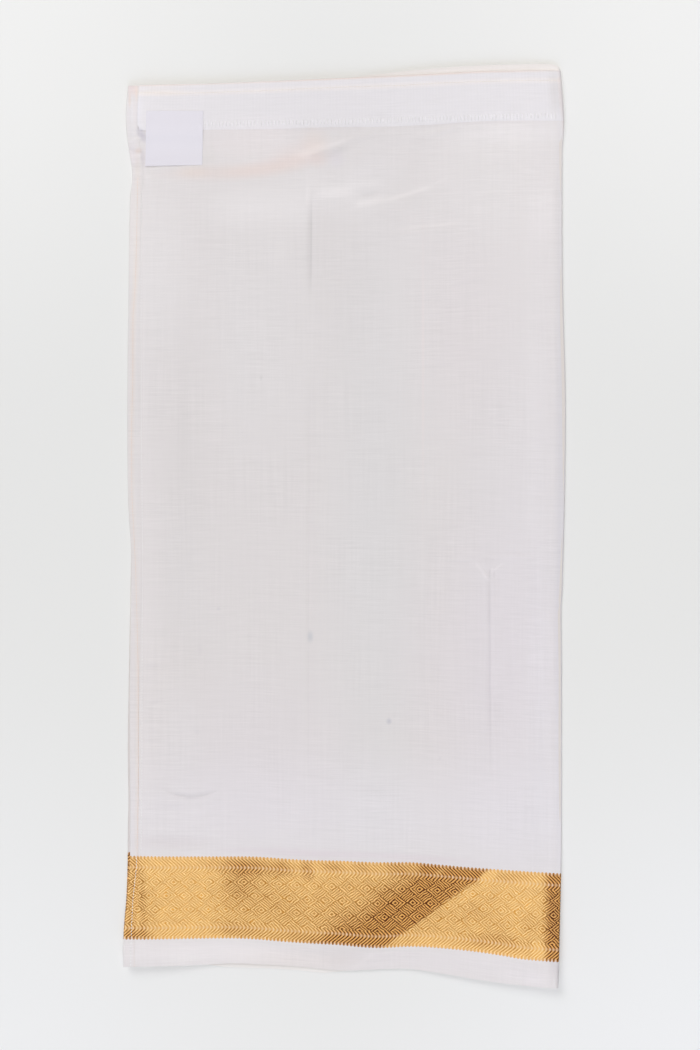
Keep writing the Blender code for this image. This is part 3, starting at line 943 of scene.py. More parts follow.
def make_spot_mark():
    group, given, out = new_group(
        "spot mark",
        [("Place", VECTOR, None), ("Centre", VECTOR, None), ("Half size", VECTOR, None)],
        [("Mask", FLOAT)],
    )
    away = vector_calc(group, "SUBTRACT", given["Place"], given["Centre"])
    share = vector_calc(group, "DIVIDE", away, given["Half size"])
    flat = vector_calc(group, "MULTIPLY", share, (1.0, 1.0, 0.0))
    length = vector_calc(group, "LENGTH", flat, result="Value")
    return give_out(group, out, Mask=soft_edge(group, length, 1.0))


LINE_MARK = make_line_mark()
SPOT_MARK = make_spot_mark()

# %% [markdown]
# ### Zari weave
#
# The border is a traditional lozenge diaper between two edge strips of arrowheads. The diaper is a grid of
# rhombic cells: rows of nested lozenges, each with a dot, between rows of slanting hatch. Turning the weave's
# two directions by the rhombus gives square cells, where nested lozenges are only the larger of two
# distances, and hatching is one distance alone. Five threads cross each cell. A handloom leaves the diaper a
# little wavy, so a slow noise shifts it.

# %% The lozenge diaper
ZARI_HEIGHT = 83.0
CELL_WIDTH = 17.6
CELL_HEIGHT = 13.6
CELL_THREADS = 5.0
CELL_OFF_CENTRE = 0.2
CELL_START = 3.3
CELL_RISE = 1.9
DOT = 0.055
WAVER = 2.3
WAVER_SCALES = (0.19, 0.23)


def weave_diaper(group, place, u, middle):
    """Gold threads of the diaper: 1 between two of them and -1 on each."""
    plus, minus, times, times_plus = short_sums(group)
    aside, aloft = (times(minus(noise(group, place, scale, 2.0), 0.5), WAVER) for scale in WAVER_SCALES)
    across = calc(group, "DIVIDE", minus(plus(aside, CELL_START), u), CELL_WIDTH)
    upward = calc(group, "DIVIDE", minus(plus(aloft, middle), CELL_RISE), CELL_HEIGHT)
    sides = plus(across, upward), minus(across, upward)
    cells = [calc(group, "ROUND", side) for side in sides]
    in_cell = [minus(side, cell) for side, cell in zip(sides, cells)]
    kind = calc(group, "FLOORED_MODULO", minus(*cells), 4.0)

    def nested(off_centre):
        ways = (calc(group, "ABSOLUTE", minus(way, off_centre)) for way in in_cell)
        away = calc(group, "MAXIMUM", calc(group, "MAXIMUM", *ways), DOT)
        return plus(away, 0.5 / CELL_THREADS - DOT)

    phase = 0.0
    for number, own in enumerate((nested(CELL_OFF_CENTRE), in_cell[0], nested(-CELL_OFF_CENTRE), in_cell[1])):
        phase = times_plus(calc(group, "COMPARE", kind, float(number), 0.1), own, phase)
    return calc(group, "COSINE", times(phase, math.tau * CELL_THREADS))


# %% [markdown]
# The arrowheads of the edge strips are slanting threads that turn back at the middle of the strip. Along the
# border's very edge they end in small upright teeth, with the white ground between them.

# %% The arrowheads
STRIP_HEIGHT = 16.0
ARROW_PITCH = 3.65
ARROW_TIP = 11.5
ARROW_ROUND = 2.2
ARROW_SLANT = 1.3
TOOTH_HEIGHT = 3.0


def weave_arrows(group, u, from_tip):
    """Gold threads of the two edge strips, bent at the tip and upright in the teeth."""
    bent = calc(group, "SQRT", calc(group, "MULTIPLY_ADD", from_tip, from_tip, ARROW_ROUND**2))
    bent = calc(group, "MINIMUM", bent, math.hypot(ARROW_TIP - TOOTH_HEIGHT, ARROW_ROUND))
    phase = calc(group, "DIVIDE", calc(group, "MULTIPLY_ADD", bent, ARROW_SLANT, u), ARROW_PITCH)
    return calc(group, "COSINE", calc(group, "MULTIPLY", phase, math.tau))


# %% [markdown]
# Pale silk shows between the gold threads. How much it stands out changes from patch to patch, and along the
# arrows' tips and teeth, where the gold floats over it. Both gold and silk get painted shade as the thread
# lies away from the light.

# %% Sizes of the gold's and silk's changes
# each pair is a factor and what is added after it
SILK_RISE = 0.45
CONTRAST_WITH_LIE = (0.85, 0.68)
CONTRAST_MOST = 1.3
PATCHES = (3.2, -0.73)
PATCHES_SCALE = 0.28
PATCH_LEAST = 0.3
PATCH_MOST = 1.4
UNEVEN = (0.5, 0.75)
UNEVEN_SCALE = 0.9
MOTTLE = 0.5
MOTTLE_SCALE = 0.11
FLOAT_ROW = 1.9
TOOTH_ROW = TOOTH_HEIGHT + 0.8
TOOTH_PALE = 1.5
EDGE_SHADE = 3.2
EDGE_SHADE_DEPTH = 0.12
PALE_WITH_DARK = (0.3, 0.25)
GOLD_CURVE = 0.82
SILK_CURVE = 1.12
SCALLOP = 0.5
print("silk shows over", PATCH_LEAST, "to", PATCH_MOST, "of its share")


# %% Zari weave group
def make_zari_weave():
    group, given, out = new_group(
        "zari weave",
        [("Weave", VECTOR, None), ("Lie", FLOAT, 0.0)]
        + [(name, COLOUR, None) for name in ("Bright gold", "Dark gold", "Silk", "Dark silk", "Ground")],
        [("Color", COLOUR), ("Gold", FLOAT), ("Height", FLOAT)],
    )
    plus, minus, times, times_plus = short_sums(group)
    least, most = (partial(calc, group, name) for name in ("MINIMUM", "MAXIMUM"))
    weave = given["Weave"]
    u, v, _ = split(group, weave)
    middle = minus(minus(v, STRETCHES["zari"][3]), ZARI_HEIGHT / 2)
    from_edge = minus(ZARI_HEIGHT / 2, calc(group, "ABSOLUTE", middle))
    from_tip = minus(from_edge, ARROW_TIP)
    arrows = weave_arrows(group, u, from_tip)
    line = put(group, "ShaderNodeMix", {"data_type": "FLOAT"})
    in_strip = calc(group, "LESS_THAN", from_edge, STRIP_HEIGHT)
    for number, value in ((0, in_strip), (2, weave_diaper(group, weave, u, middle)), (3, arrows)):
        feed(group, line.inputs[number], value)
    thread = line.outputs[0]

    # how much silk shows
    float_row = soft_edge(group, from_tip, FLOAT_ROW)
    tooth_row = soft_edge(group, from_edge, TOOTH_ROW)
    calmer = times_plus(most(float_row, tooth_row), -0.5, 1.0)
    patches = times_plus(noise(group, weave, PATCHES_SCALE, 2.0), *PATCHES)
    patches = least(most(patches, PATCH_LEAST), PATCH_MOST)
    contrast = least(times_plus(given["Lie"], *CONTRAST_WITH_LIE), CONTRAST_MOST)
    contrast = times(times(contrast, patches), calmer)
    silk = times_plus(minus(smooth_step(group, thread, -SILK_RISE, SILK_RISE), 0.5), contrast, 0.5)
    silk = least(times(silk, times_plus(noise(group, weave, UNEVEN_SCALE, 2.0), *UNEVEN)), 1.0)

    # painted shade of the gold and the silk
    dark = times_plus(minus(noise(group, weave, MOTTLE_SCALE, 3.0), 0.5), MOTTLE, given["Lie"])
    rim = times(soft_edge(group, from_edge, EDGE_SHADE), minus(0.5, arrows))
    dark = least(most(times_plus(rim, EDGE_SHADE_DEPTH, dark), 0.0), 1.0)
    gold_dark = times(calc(group, "POWER", dark, GOLD_CURVE), calmer)
    silk_dark = calc(group, "POWER", dark, SILK_CURVE)
    pale = times(most(float_row, times(tooth_row, TOOTH_PALE)), silk)
    pale = times(pale, times_plus(dark, *PALE_WITH_DARK))

    # gold over silk, and the scalloped outer edge
    gold_colour = blend_colours(group, gold_dark, given["Bright gold"], given["Dark gold"])
    silk_colour = blend_colours(group, silk_dark, given["Silk"], given["Dark silk"])
    silk_colour = blend_colours(group, pale, silk_colour, given["Ground"])
    colour = blend_colours(group, silk, gold_colour, silk_colour)
    cloth = calc(group, "LESS_THAN", from_edge, times_plus(arrows, SCALLOP, SCALLOP))
    colour = blend_colours(group, cloth, colour, given["Ground"])
    return give_out(group, out, Color=colour, Gold=minus(1.0, most(silk, cloth)), Height=thread)


ZARI_WEAVE = make_zari_weave()
print("shader groups:", [group.name for group in bpy.data.node_groups])

# %% [markdown]
# ## Finishes
#
# Each finish is one Principled shader. Its colour comes from the point colours and the groups, its bump from
# the weave. Numbers that are the same all over the cloth, such as sheen, are set on the shader itself.

# %% Colours
COTTON = (0.735, 0.700, 0.708, 1.0)
BAND_COTTON = (0.770, 0.745, 0.775, 1.0)
LABEL_SATIN = (0.697, 0.674, 0.744, 1.0)
BAND_STRIPE = (0.866, 0.802, 0.786, 1.0)
PEACH = (0.830, 0.560, 0.400, 1.0)
LAYER_COTTON = (0.720, 0.672, 0.655, 1.0)
FLOOR = (0.800, 0.800, 0.798, 1.0)
# bright and dark gold, and silk and dark silk: the same threads in light and in painted shade
ZARI_COLOURS = {
    "Bright_gold": (0.560, 0.262, 0.042, 1.0),
    "Dark_gold": (0.086, 0.016, 0.000, 1.0),
    "Silk": (0.990, 0.700, 0.335, 1.0),
    "Dark_silk": (0.840, 0.435, 0.128, 1.0),
}
SOFT_CLOTH = {"Specular_IOR_Level": 0.35, "Sheen_Weight": 0.08}


def new_material(name, roughness, **constants):
    """Material with a Principled shader, its roughness and its other plain numbers."""
    material = bpy.data.materials.new(name)
    material.use_nodes = True
    shader = material.node_tree.nodes["Principled BSDF"]
    for key, value in {"Roughness": roughness, **constants}.items():
        shader.inputs[key.replace("_", " ")].default_value = value
    return material, material.node_tree, shader


def use_group(tree, group, **inputs):
    return put(tree, "ShaderNodeGroup", {"node_tree": group}, **inputs).outputs


def weave_place(tree):
    return put(tree, "ShaderNodeUVMap", {"uv_map": "weave"}).outputs[0]


def object_place(tree):
    """Place on the object, in millimetres."""
    node = put(tree, "ShaderNodeVectorMath", {"operation": "SCALE"}, Scale=1.0 / MM)
    feed(tree, node.inputs[0], put(tree, "ShaderNodeTexCoord").outputs["Object"])
    return node.outputs[0]


def point_colour(tree, name):
    return put(tree, "ShaderNodeAttribute", {"attribute_name": name}).outputs["Color"]


def point_value(tree, name):
    return put(tree, "ShaderNodeSeparateColor", Color=point_colour(tree, name)).outputs["Red"]


def cover(tree, shader, colour, height, depth):
    """Links a colour to the shader, and a bump of a height whose full swing is depth, in millimetres."""
    bump = put(tree, "ShaderNodeBump", Strength=1.0, Distance=depth * MM, Height=height)
    tree.links.new(colour, shader.inputs["Base Color"])
    tree.links.new(bump.outputs[0], shader.inputs["Normal"])


def mottled(tree, shader, colour, scale, detail, swing):
    """Links a colour that noise makes a little lighter and darker."""
    share = calc(tree, "MULTIPLY_ADD", noise(tree, object_place(tree), scale, detail), swing, 1.0 - swing / 2)
    tree.links.new(tinted(tree, colour, grey(tree, share)), shader.inputs["Base Color"])


# %% Plain ground
LINE_MARKS = (
    # x, y, half length, half width, red, green, blue in percent
    # the lines at x -36, 145.2 and -33.4 are painted shade along pressed creases
    (78.5, 156, 230, 2, 3.6, 1.2, 0.8),
    (-36, -60, 290, 1.2, -1.6, -1.6, -1.4),
    (-166, 60, 300, 1.2, -1, -1, -1),
    (145.2, -148, 110, 1.6, -3, -3.2, -2.4),
    (-33.4, 284, 56, 1.5, -4.6, -4.6, -4),
)
SPOT_MARKS = (
    # x, y, half width, half height, red, green, blue in percent
    (-34.3, -110.5, 4.6, 8.8, -16, -12.5, -9.5),
    (44.5, -195, 4.2, 4.6, -19, -18, -13),
    (-126, -82.5, 2.6, 3, -6, -6, -4),
    (95.5, -232, 2.6, 3, -5, -5, -4),
    (-83.5, 148.2, 2.4, 4, -7, -7, -7),
    (-193.5, -139.7, 14, 4, -2.6, -2.8, -2),
    (-144.5, -122.7, 5, 9, -2.4, -2.6, -1.8),
    (-189.5, -175.7, 8, 4, -2.4, -2.6, -1.8),
    (-147.5, -205.7, 5, 4, -3, -3, -2.2),
    (-174.5, -279.7, 26, 6, -2.4, -2.6, -2),
)


def marks(tree):
    """Each faint line and each spot, with its change of colour in percent."""
    place = object_place(tree)
    for x, y, half_length, half_width, *change in LINE_MARKS:
        yield use_group(
            tree, LINE_MARK, Place=place, Across_at=x, Along_at=y,
            Half_length=half_length, Half_width=half_width,
        ), change
    for x, y, half_width, half_height, *change in SPOT_MARKS:
        yield use_group(
            tree, SPOT_MARK, Place=place, Centre=(x, y, 0.0), Half_size=(half_width, half_height, 1.0)
        ), change


def mark_colours(tree, colour):
    """Multiplies a colour by each faint line and each spot."""
    for mark, change in marks(tree):
        full = (*(1.0 + part / 100.0 for part in change), 1.0)
        colour = blend_colours(tree, mark["Mask"], colour, tinted(tree, colour, full))
    return colour


def make_cotton():
    """Fine off-white silk-cotton, with its faint lines and spots."""
    material, tree, shader = new_material("cotton", 0.72, **SOFT_CLOTH)
    weave = use_group(tree, PLAIN_WEAVE, Weave=weave_place(tree), Streaks=0.1)
    # the point colours hold the tints, with painted light and painted shade
    colour = tinted(tree, COTTON, point_colour(tree, "tint_and_painted_light"))
    colour = mark_colours(tree, tinted(tree, colour, grey(tree, weave["Shade"])))
    cover(tree, shader, colour, weave["Height"], 0.05)
    return material


cotton = make_cotton()


# %% Gold border
def make_zari():
    """Gold thread over silk in the lozenge diaper."""
    material, tree, shader = new_material("zari", 0.4, Specular_IOR_Level=0.08)
    # the point value is the gold's painted shade, and the point colours add the tints with painted shade at the
    # fold
    painted_gold_shade = point_value(tree, "lie")
    woven = use_group(tree, ZARI_WEAVE, Weave=weave_place(tree), Lie=painted_gold_shade, Ground=COTTON, **ZARI_COLOURS)
    metal = calc(tree, "MULTIPLY", woven["Gold"], calc(tree, "MULTIPLY_ADD", painted_gold_shade, -0.2, 0.3))
    tree.links.new(metal, shader.inputs["Metallic"])
    tree.links.new(calc(tree, "MULTIPLY_ADD", woven["Gold"], -0.3, 0.7), shader.inputs["Roughness"])
    cover(tree, shader, tinted(tree, woven["Color"], point_colour(tree, "tint_and_painted_light")), woven["Height"], 0.08)
    return material


zari = make_zari()

# %% Stitched band
BAND_RIB_PITCH = 3.2
BAND_RIB_SHADE = 0.006
STRIPE_AT = 437.0
STRIPE_REACH = 4.4
STRIPE_STRENGTH = 0.48


def make_band():
    """The turned band: whiter than the ground, with a cream stripe under its upper stitches."""
    material, tree, shader = new_material("band", 0.7, **SOFT_CLOTH)
    place = weave_place(tree)
    weave = use_group(tree, PLAIN_WEAVE, Weave=place, Streaks=0.08)
    u, v, _ = split(tree, place)
    stripe = soft_edge(tree, calc(tree, "SUBTRACT", v, STRIPE_AT), STRIPE_REACH)
    colour = blend_colours(tree, calc(tree, "MULTIPLY", stripe, STRIPE_STRENGTH), BAND_COTTON, BAND_STRIPE)
    colour = blend_colours(tree, point_value(tree, "lie"), colour, PEACH)
    ribs = calc(tree, "SINE", calc(tree, "MULTIPLY", u, math.tau / BAND_RIB_PITCH))
    shade = calc(tree, "MULTIPLY_ADD", ribs, BAND_RIB_SHADE, weave["Shade"])
    # the point colours add the tints, with painted shade at the fold and along the band's lower edge
    colour = tinted(tree, tinted(tree, colour, grey(tree, shade)), point_colour(tree, "tint_and_painted_light"))
    cover(tree, shader, colour, weave["Height"], 0.05)
    return material


# %% Label and thread
def make_satin():
    """White woven satin ribbon: smoother and cooler than the cloth."""
    material, tree, shader = new_material("label_satin", 0.42, Specular_IOR_Level=0.5, Sheen_Weight=0.15)
    weave = use_group(tree, PLAIN_WEAVE, Weave=weave_place(tree), Streaks=0.02, Thread_pitch=0.5)
    cover(tree, shader, tinted(tree, LABEL_SATIN, grey(tree, weave["Shade"])), weave["Height"], 0.04)
    return material


def make_thread(name, colour):
    """Twisted sewing thread."""
    material, tree, shader = new_material(name, 0.6, Specular_IOR_Level=0.35)
    mottled(tree, shader, colour, 0.8, 2.0, 0.16)
    return material


# %% Inner layers
LAYER_BORDER_RISE = 3.5
# painted shade of the layers' gold, the same all over
LAYER_GOLD_SHADE = 0.75
LAYER_METAL = 0.45


def make_layers():
    """The inner layers: the same cloth, with its border where the weave has it."""
    material, tree, shader = new_material("inner_layers", 0.72, **SOFT_CLOTH)
    place = weave_place(tree)
    weave = use_group(tree, PLAIN_WEAVE, Weave=place, Streaks=0.05)
    lowered = vector_calc(tree, "SUBTRACT", place, (0.0, LAYER_BORDER_RISE, 0.0))
    woven = use_group(tree, ZARI_WEAVE, Weave=lowered, Lie=LAYER_GOLD_SHADE, Ground=LAYER_COTTON, **ZARI_COLOURS)
    low, high = STRETCHES["zari"][3:]
    _, v, _ = split(tree, lowered)
    from_middle = calc(tree, "ABSOLUTE", calc(tree, "SUBTRACT", v, (low + high) / 2))
    in_border = calc(tree, "LESS_THAN", from_middle, (high - low) / 2)
    plain = tinted(tree, LAYER_COTTON, grey(tree, weave["Shade"]))
    colour = blend_colours(tree, in_border, plain, woven["Color"])
    metal = calc(tree, "MULTIPLY", calc(tree, "MULTIPLY", woven["Gold"], in_border), LAYER_METAL)
    tree.links.new(metal, shader.inputs["Metallic"])
    # the point colours add painted light on the layers' ends and painted shade at their left folds
    cover(tree, shader, tinted(tree, colour, point_colour(tree, "tint_and_painted_light")), weave["Height"], 0.05)
    return material


band = make_band()
satin = make_satin()
layers = make_layers()
cream_thread = make_thread("cream_thread", (0.86, 0.80, 0.76, 1.0))
white_thread = make_thread("white_thread", (0.85, 0.84, 0.85, 1.0))
peach_thread = make_thread("peach_thread", (0.80, 0.66, 0.60, 1.0))
print("finishes:", sorted(material.name for material in bpy.data.materials))

# %% [markdown]
# ## Floor
#
# A plain pale floor, larger than any view needs.

# %% Floor
FLOOR_HALF = 4.0
FLOOR_GAP = 0.0002


def make_floor():
    bm = bmesh.new()
    bmesh.ops.create_grid(bm, x_segments=1, y_segments=1, size=FLOOR_HALF)
    material, tree, shader = new_material("pale_floor", 0.9, Specular_IOR_Level=0.2)
    mottled(tree, shader, FLOOR, 0.35, 3.0, 0.012)
    floor = add_mesh("floor", to_mesh("floor", bm), material)
    floor.location.z = -FLOOR_GAP


make_floor()
print("floor:", 2 * FLOOR_HALF, "m wide")

# %% [markdown]
# ## The outer wrap
#
# The outermost length of cloth lies over the top, turns round at the right-hand fold and comes back
# underneath. It is woven in one piece but changes across its width: white selvedge, gold border, plain
# ground, and the band that is turned and stitched at the waist. Each stretch is a piece of its own here,
# because each is a solid of its own in the model. One function lays them all.

# %% Laying a stretch of the wrap
FOLD_DROOP = 0.5
FOLD_DROOP_REACH = 9.0
END_SETBACK = 2.5
ROLL_RADIUS = 0.45
ROLL = np.radians([30.0, 60.0, 90.0, 125.0, 160.0])
TUCKED_ROWS = np.array([0.4, 1.0])
TUCKED_DROP = 0.4
BAND_LAP = 0.32
BAND_LAP_RAMP = 9.0
NIP = 2.2
NIP_LOW = 382.0
NIP_RISE = 11.5
NIP_HIGH = 401.0
NIP_FALL = 7.5
NIP_FADE = 16.0
EDGE_THREAD = (
    # x, how strongly the peach thread of the upper edge shows
    (-216, 0.16), (-190, 0.2), (-110, 0.22), (-60, 0.28), (-10, 0.37), (30, 0.34),
    (100, 0.4), (150, 0.36), (185, 0.25), (205, 0.1),
)
EDGE_THREAD_WIDTH = 1.6
CORNER_TUCK = (-207.4, 395.5, -198.6, 382.5)
TUCK_DEPTH = 0.6
TUCK_SLOPE = 4.0
TUCK_RIGHT = (10.0, 8.0)
TUCK_LOW = (3.0, 3.0)


def nip(y):
    """Width of the small open triangle between the hem and the corner under the band's end."""
    return NIP * np.clip((y - NIP_LOW) / NIP_RISE, 0.0, 1.0) * ease((NIP_HIGH - y) / NIP_FALL)


def tuck(x, y):
    """How far the ground dips in the corner where band and hem meet."""
    x0, y0, x1, y1 = CORNER_TUCK
    past = ((y - y0) * (x1 - x0) - (x - x0) * (y1 - y0)) / math.hypot(x1 - x0, y1 - y0)
    from_right = ease((x1 + TUCK_RIGHT[0] - x) / TUCK_RIGHT[1])
    from_below = ease((y - y1 + TUCK_LOW[0]) / TUCK_LOW[1])
    return TUCK_DEPTH * ease(past / TUCK_SLOPE) * from_right * from_below


def lay_wrap(name, stretch, material):
    """A stretch of the outer cloth: over the top, round the fold and back underneath."""
    low, high, row_shares, v_low, v_high = STRETCHES[stretch]
    is_band = stretch == "band"
    columns = COLUMNS[COLUMNS >= NOMINAL_LEFT + HEM_WIDTH - 0.01] if is_band else COLUMNS
    turns = np.linspace(0.0, math.pi, FOLD_STEPS + 1)[1:-1]
    nominal = np.concatenate([columns, np.full(len(turns), columns[-1]), UNDER_COLUMNS])[:, None]
    turn = np.concatenate([np.zeros(len(columns)), turns, np.full(len(UNDER_COLUMNS), math.pi)])[:, None]
    past_end = {"band": ROLL, "ground": TUCKED_ROWS}.get(stretch, np.array([]))
    over, roll, extra = (
        np.concatenate([before, after])[None, :]
        for before, after in (
            (row_shares, np.ones(len(past_end))),
            (0.0 * row_shares, past_end * is_band),
            (0.0 * row_shares, TUCK * past_end * (not is_band)),
        )
    )
    y_low = along(low, nominal)
    y = y_low + over * (along(high, nominal) - y_low) + extra
    x = plan_x(nominal, y)
    if stretch in ("band", "ground"):
        x = x + nip(y) * np.clip(1.0 - (nominal - columns[0]) / NIP_FADE, 0.0, 1.0) * (turn == 0.0)
    top_z = face(x, y)
    if is_band:
        top_z = top_z + BAND_LAP + (HEM_PROUD - BAND_LAP) * ease((y - y_low) / BAND_LAP_RAMP)
    if stretch == "ground":
        top_z = top_z - tuck(x, y)
    into_fold = x - along(RIGHT_EDGE, y) + fold_radius(y) + FOLD_DROOP_REACH
    top_z = top_z - FOLD_DROOP * ease(into_fold / FOLD_DROOP_REACH)
    tucked = TUCKED_DROP * np.minimum(extra, 1.0)
    low_z = under(x, y) + tucked
    z = np.where(turn == 0.0, top_z, low_z + (top_z - low_z) / 2 * (1.0 + np.cos(turn)))
    x = x + np.where(turn == 0.0, 0.0, (fold_radius(y) - tucked) * np.sin(turn))
    x = np.where((turn == math.pi) & (nominal == NOMINAL_LEFT), along(LEFT_EDGE, y) + END_SETBACK, x)
    y = y + ROLL_RADIUS * np.sin(roll)
    z = z + np.where(turn < math.pi / 2, -1.0, 1.0) * ROLL_RADIUS * (1.0 - np.cos(roll))
    middle = y.shape[1] // 2
    steps = np.hypot(np.diff(x[:, middle]), np.diff(z[:, middle]))
    u = columns[0] + np.concatenate([[0.0], np.cumsum(steps)])[:, None] + 0.0 * y
    v = v_low + over * (v_high - v_low) + extra + ROLL_RADIUS * roll + 0.0 * u
    if is_band:
        on_edge = hump((roll - ROLL[0]) / EDGE_THREAD_WIDTH) * (over == 1.0) * (turn < 1.0)
        shown = along(EDGE_THREAD, x) * on_edge
    else:
        shown = lie(x, y)
    return make_sheet(name, (x, y, z), (u, v), material, colours={"tint_and_painted_light": tint_and_painted_light(x, y), "lie": as_grey(shown)})


# %% Pieces of the wrap
WRAP = (
    # piece, stretch, finish, slot, the solid that it stands for
    ("selvedge_cloth", "selvedge", cotton, "cotton", "selvedge_strip"),
    ("zari_border_cloth", "zari", zari, "zari", "zari_border"),
    ("ground_panel", "ground", cotton, "cotton", "ground_cloth"),
    ("waist_band_cloth", "band", band, "band", "waist_band"),
)
selvedge_piece, zari_piece, ground_piece, band_piece = (
    dress(lay_wrap(name, stretch, material), slot, node) for name, stretch, material, slot, node in WRAP
)

# %% [markdown]
# ## The hemmed end
#
# The outer end of the cloth lies along the left edge. It is turned under twice and sewn, so it stands half a
# millimetre proud and its outer edge is round. It crosses the same four stretches, in three pieces: ground
# and band together, border and selvedge.

# %% Laying the hem
HEM_ROUND_STEPS = 5
HEM_RADIUS = 0.55
HEM_FLAT_STEPS = 15
HEM_THICKNESS = 0.3
HEM_OUTER_PROUD = HEM_PROUD + 0.1
HEM_INNER_PROUD = 0.32
HEM_DIPS = (
    # share of the width, half width, depth
    (0.72, 0.12, 0.12),
    (0.42, 0.2, 0.1),
)
HEM_PUCKER = 0.07
HEM_PUCKER_PITCH = 6.3
# painted shade on the hem's gold: some all over, and more beside its rounded edge
HEM_GOLD_SHADE = 0.22
HEM_FOLD_SHADE = 0.2
HEM_STRIPE_REACH = 4.2
HEM_STRIPE_TINT = (2.0, -1.1, -4.4)
HEM_STRIPE_LINE = (
    # y, x
    (-331, -207.6), (-281, -206.7), (-246, -206.1), (-141, -206.5), (-71, -208.1), (-36, -209.3),
    (-1, -211.1), (34, -212.8), (104, -213), (139, -211.9), (209, -211.6), (244, -209.3),
    (279, -208.2), (349, -206.8), (384, -208), (419, -209.5),
)
HEM_STRIPE_SHARE = (
    # y, how strongly it shows
    (-331, 1), (-246, 1.15), (-141, 1), (-71, 0.6), (34, 0.7), (139, 1),
    (244, 1.2), (314, 0.3), (349, 0.8), (384, 0.1), (419, 0.5),
)


def lay_hem(name, stretches, material):
    """The turned end of the cloth across one or more stretches."""
    y_parts, v_parts = [], []
    nominal = NOMINAL_LEFT + HEM_WIDTH
    for stretch in stretches:
        low, high, row_shares, v_low, v_high = STRETCHES[stretch]
        rows = row_shares if not y_parts else row_shares[1:]
        y_low = along(low, nominal)
        y_parts.append(y_low + rows * (along(high, nominal) - y_low))
        v_parts.append(v_low + rows * (v_high - v_low))
    y = np.concatenate(y_parts)[None, :]
    v = np.concatenate(v_parts)[None, :]
    left = along(LEFT_EDGE, y) + along(HEM_INSET, y)
    right = plan_x(nominal, y)
    turn = np.radians(np.linspace(-80.0, 80.0, HEM_ROUND_STEPS))[:, None]
    share = np.linspace(0.0, 1.0, HEM_FLAT_STEPS)[:, None]
    rounded = left + HEM_RADIUS * (1.0 - np.cos(turn))
    x = np.concatenate([rounded, left + HEM_RADIUS + share * (right - left - HEM_RADIUS)])
    dip = sum(depth * peak((share - at) / half) for at, half, depth in HEM_DIPS)
    proud = HEM_OUTER_PROUD - (HEM_OUTER_PROUD - HEM_INNER_PROUD) * ease((share - 0.7) / 0.3)
    height = np.concatenate([HEM_OUTER_PROUD + HEM_RADIUS * (np.sin(turn) - 1.0), proud - dip])
    y, v = (np.repeat(row, len(x), axis=0) for row in (y, v))
    ripple = np.sin(y * math.tau / HEM_PUCKER_PITCH + 0.7 * np.sin(y / 17.0))
    pucker = HEM_PUCKER * ripple * hump((x - left - 8.0) / 7.0)
    z = face(x, y) + height + pucker
    stripe = hump((x - along(HEM_STRIPE_LINE, y)) / HEM_STRIPE_REACH) * along(HEM_STRIPE_SHARE, y)
    tint = stripe[..., None] * np.array(HEM_STRIPE_TINT) / 100.0
    # painted shade of the hem's gold
    hem_gold_shade = np.clip(lie(x, y) + HEM_GOLD_SHADE + HEM_FOLD_SHADE * hump((x - left - 4.5) / 3.5), 0.0, 1.0)
    colours = {"tint_and_painted_light": tint_and_painted_light(x, y) + tint, "lie": as_grey(hem_gold_shade)}
    return make_sheet(name, (x, y, z), (x + 0.0, v), material, thickness=HEM_THICKNESS, colours=colours)


# %% Pieces of the hem
HEM = (
    # piece, stretches, finish, slot, the solid that it stands for
    ("end_hem_cloth", ("ground", "band"), cotton, "cotton", "end_hem_ground"),
    ("end_hem_zari_cloth", ("zari",), zari, "zari", "end_hem_zari"),
    ("end_hem_selvedge_cloth", ("selvedge",), cotton, "cotton", "end_hem_selvedge"),
)
hem_ground, hem_zari, hem_selvedge = (
    dress(lay_hem(name, stretches, material), slot, node) for name, stretches, material, slot, node in HEM
)

# %% [markdown]
# ## The layers inside
#
# Under the wrap the cloth goes on: it turns up round the left edge and winds inwards, four more panels in
# all, joined by nested folds. It is built as that one winding sheet. Only its edges show: the folds at the
# left, and the layers' ends at the top and bottom, each ending a little further in or out than the next.

# %% Winding layers
LAYER_ENDS = (
    # share of the stack's height, how far in from the left, bottom and top
    (0.0, 2.6, 2.0, 2.6),
    (0.2, 1.2, 1.4, 2.0),
    (0.4, 2.4, 2.4, 3.0),
    (0.6, 0.9, 1.2, 1.4),
    (0.8, 0.7, 0.8, 0.0),
)
LAYER_PATH = (
    # part, from share, to share
    ("left fold", 0.0, 0.2),
    ("rightwards", 0.2, 0.2),
    ("right fold", 0.2, 0.8),
    ("leftwards", 0.8, 0.8),
    ("left fold", 0.8, 0.6),
    ("rightwards", 0.6, 0.6),
    ("right fold", 0.6, 0.4),
    ("leftwards", 0.4, 0.4),
)
FINE_LAYER_COLUMNS = (
    # from x, to x, step
    (-217.0, -205.0, 3.0),
    (-50.0, -20.0, 5.0),
    (196.0, 214.0, 6.0),
)
LAYER_COLUMNS = stations(NOMINAL_LEFT, NOMINAL_RIGHT, 22.0, FINE_LAYER_COLUMNS)
LAYER_ROW_STEP = 6.0
LEAST_ROWS = 5
LAYER_FOLD_STEPS = 8
LAYER_END_FADE = 20.0
# painted light on the layers' ends where they show at the top and the bottom, and painted shade on the rim of
# their upper ends and on their folds at the lower left
TOP_LAYER_LIGHT = (17.0, 18.5, 19.5)
TOP_LAYER_START = (436.0, 8.0)
TOP_LAYER_RIM_SHADE = (-6.0, -6.0, -6.0)
TOP_RIM_START = (4.4, 3.0)
BOTTOM_LAYER_LIGHT = (16.0, 20.0, 21.0)
BOTTOM_LAYER_START = (436.0, 5.0)
LEFT_LAYER_SHADE = (-9.0, -9.0, -7.0)
LEFT_LAYER_BELOW = (80.0, 120.0)
LEFT_LAYER_BESIDE = (208.0, 6.0)
PEEK_ABOVE = 0.7
PEEK_BELOW = 0.3


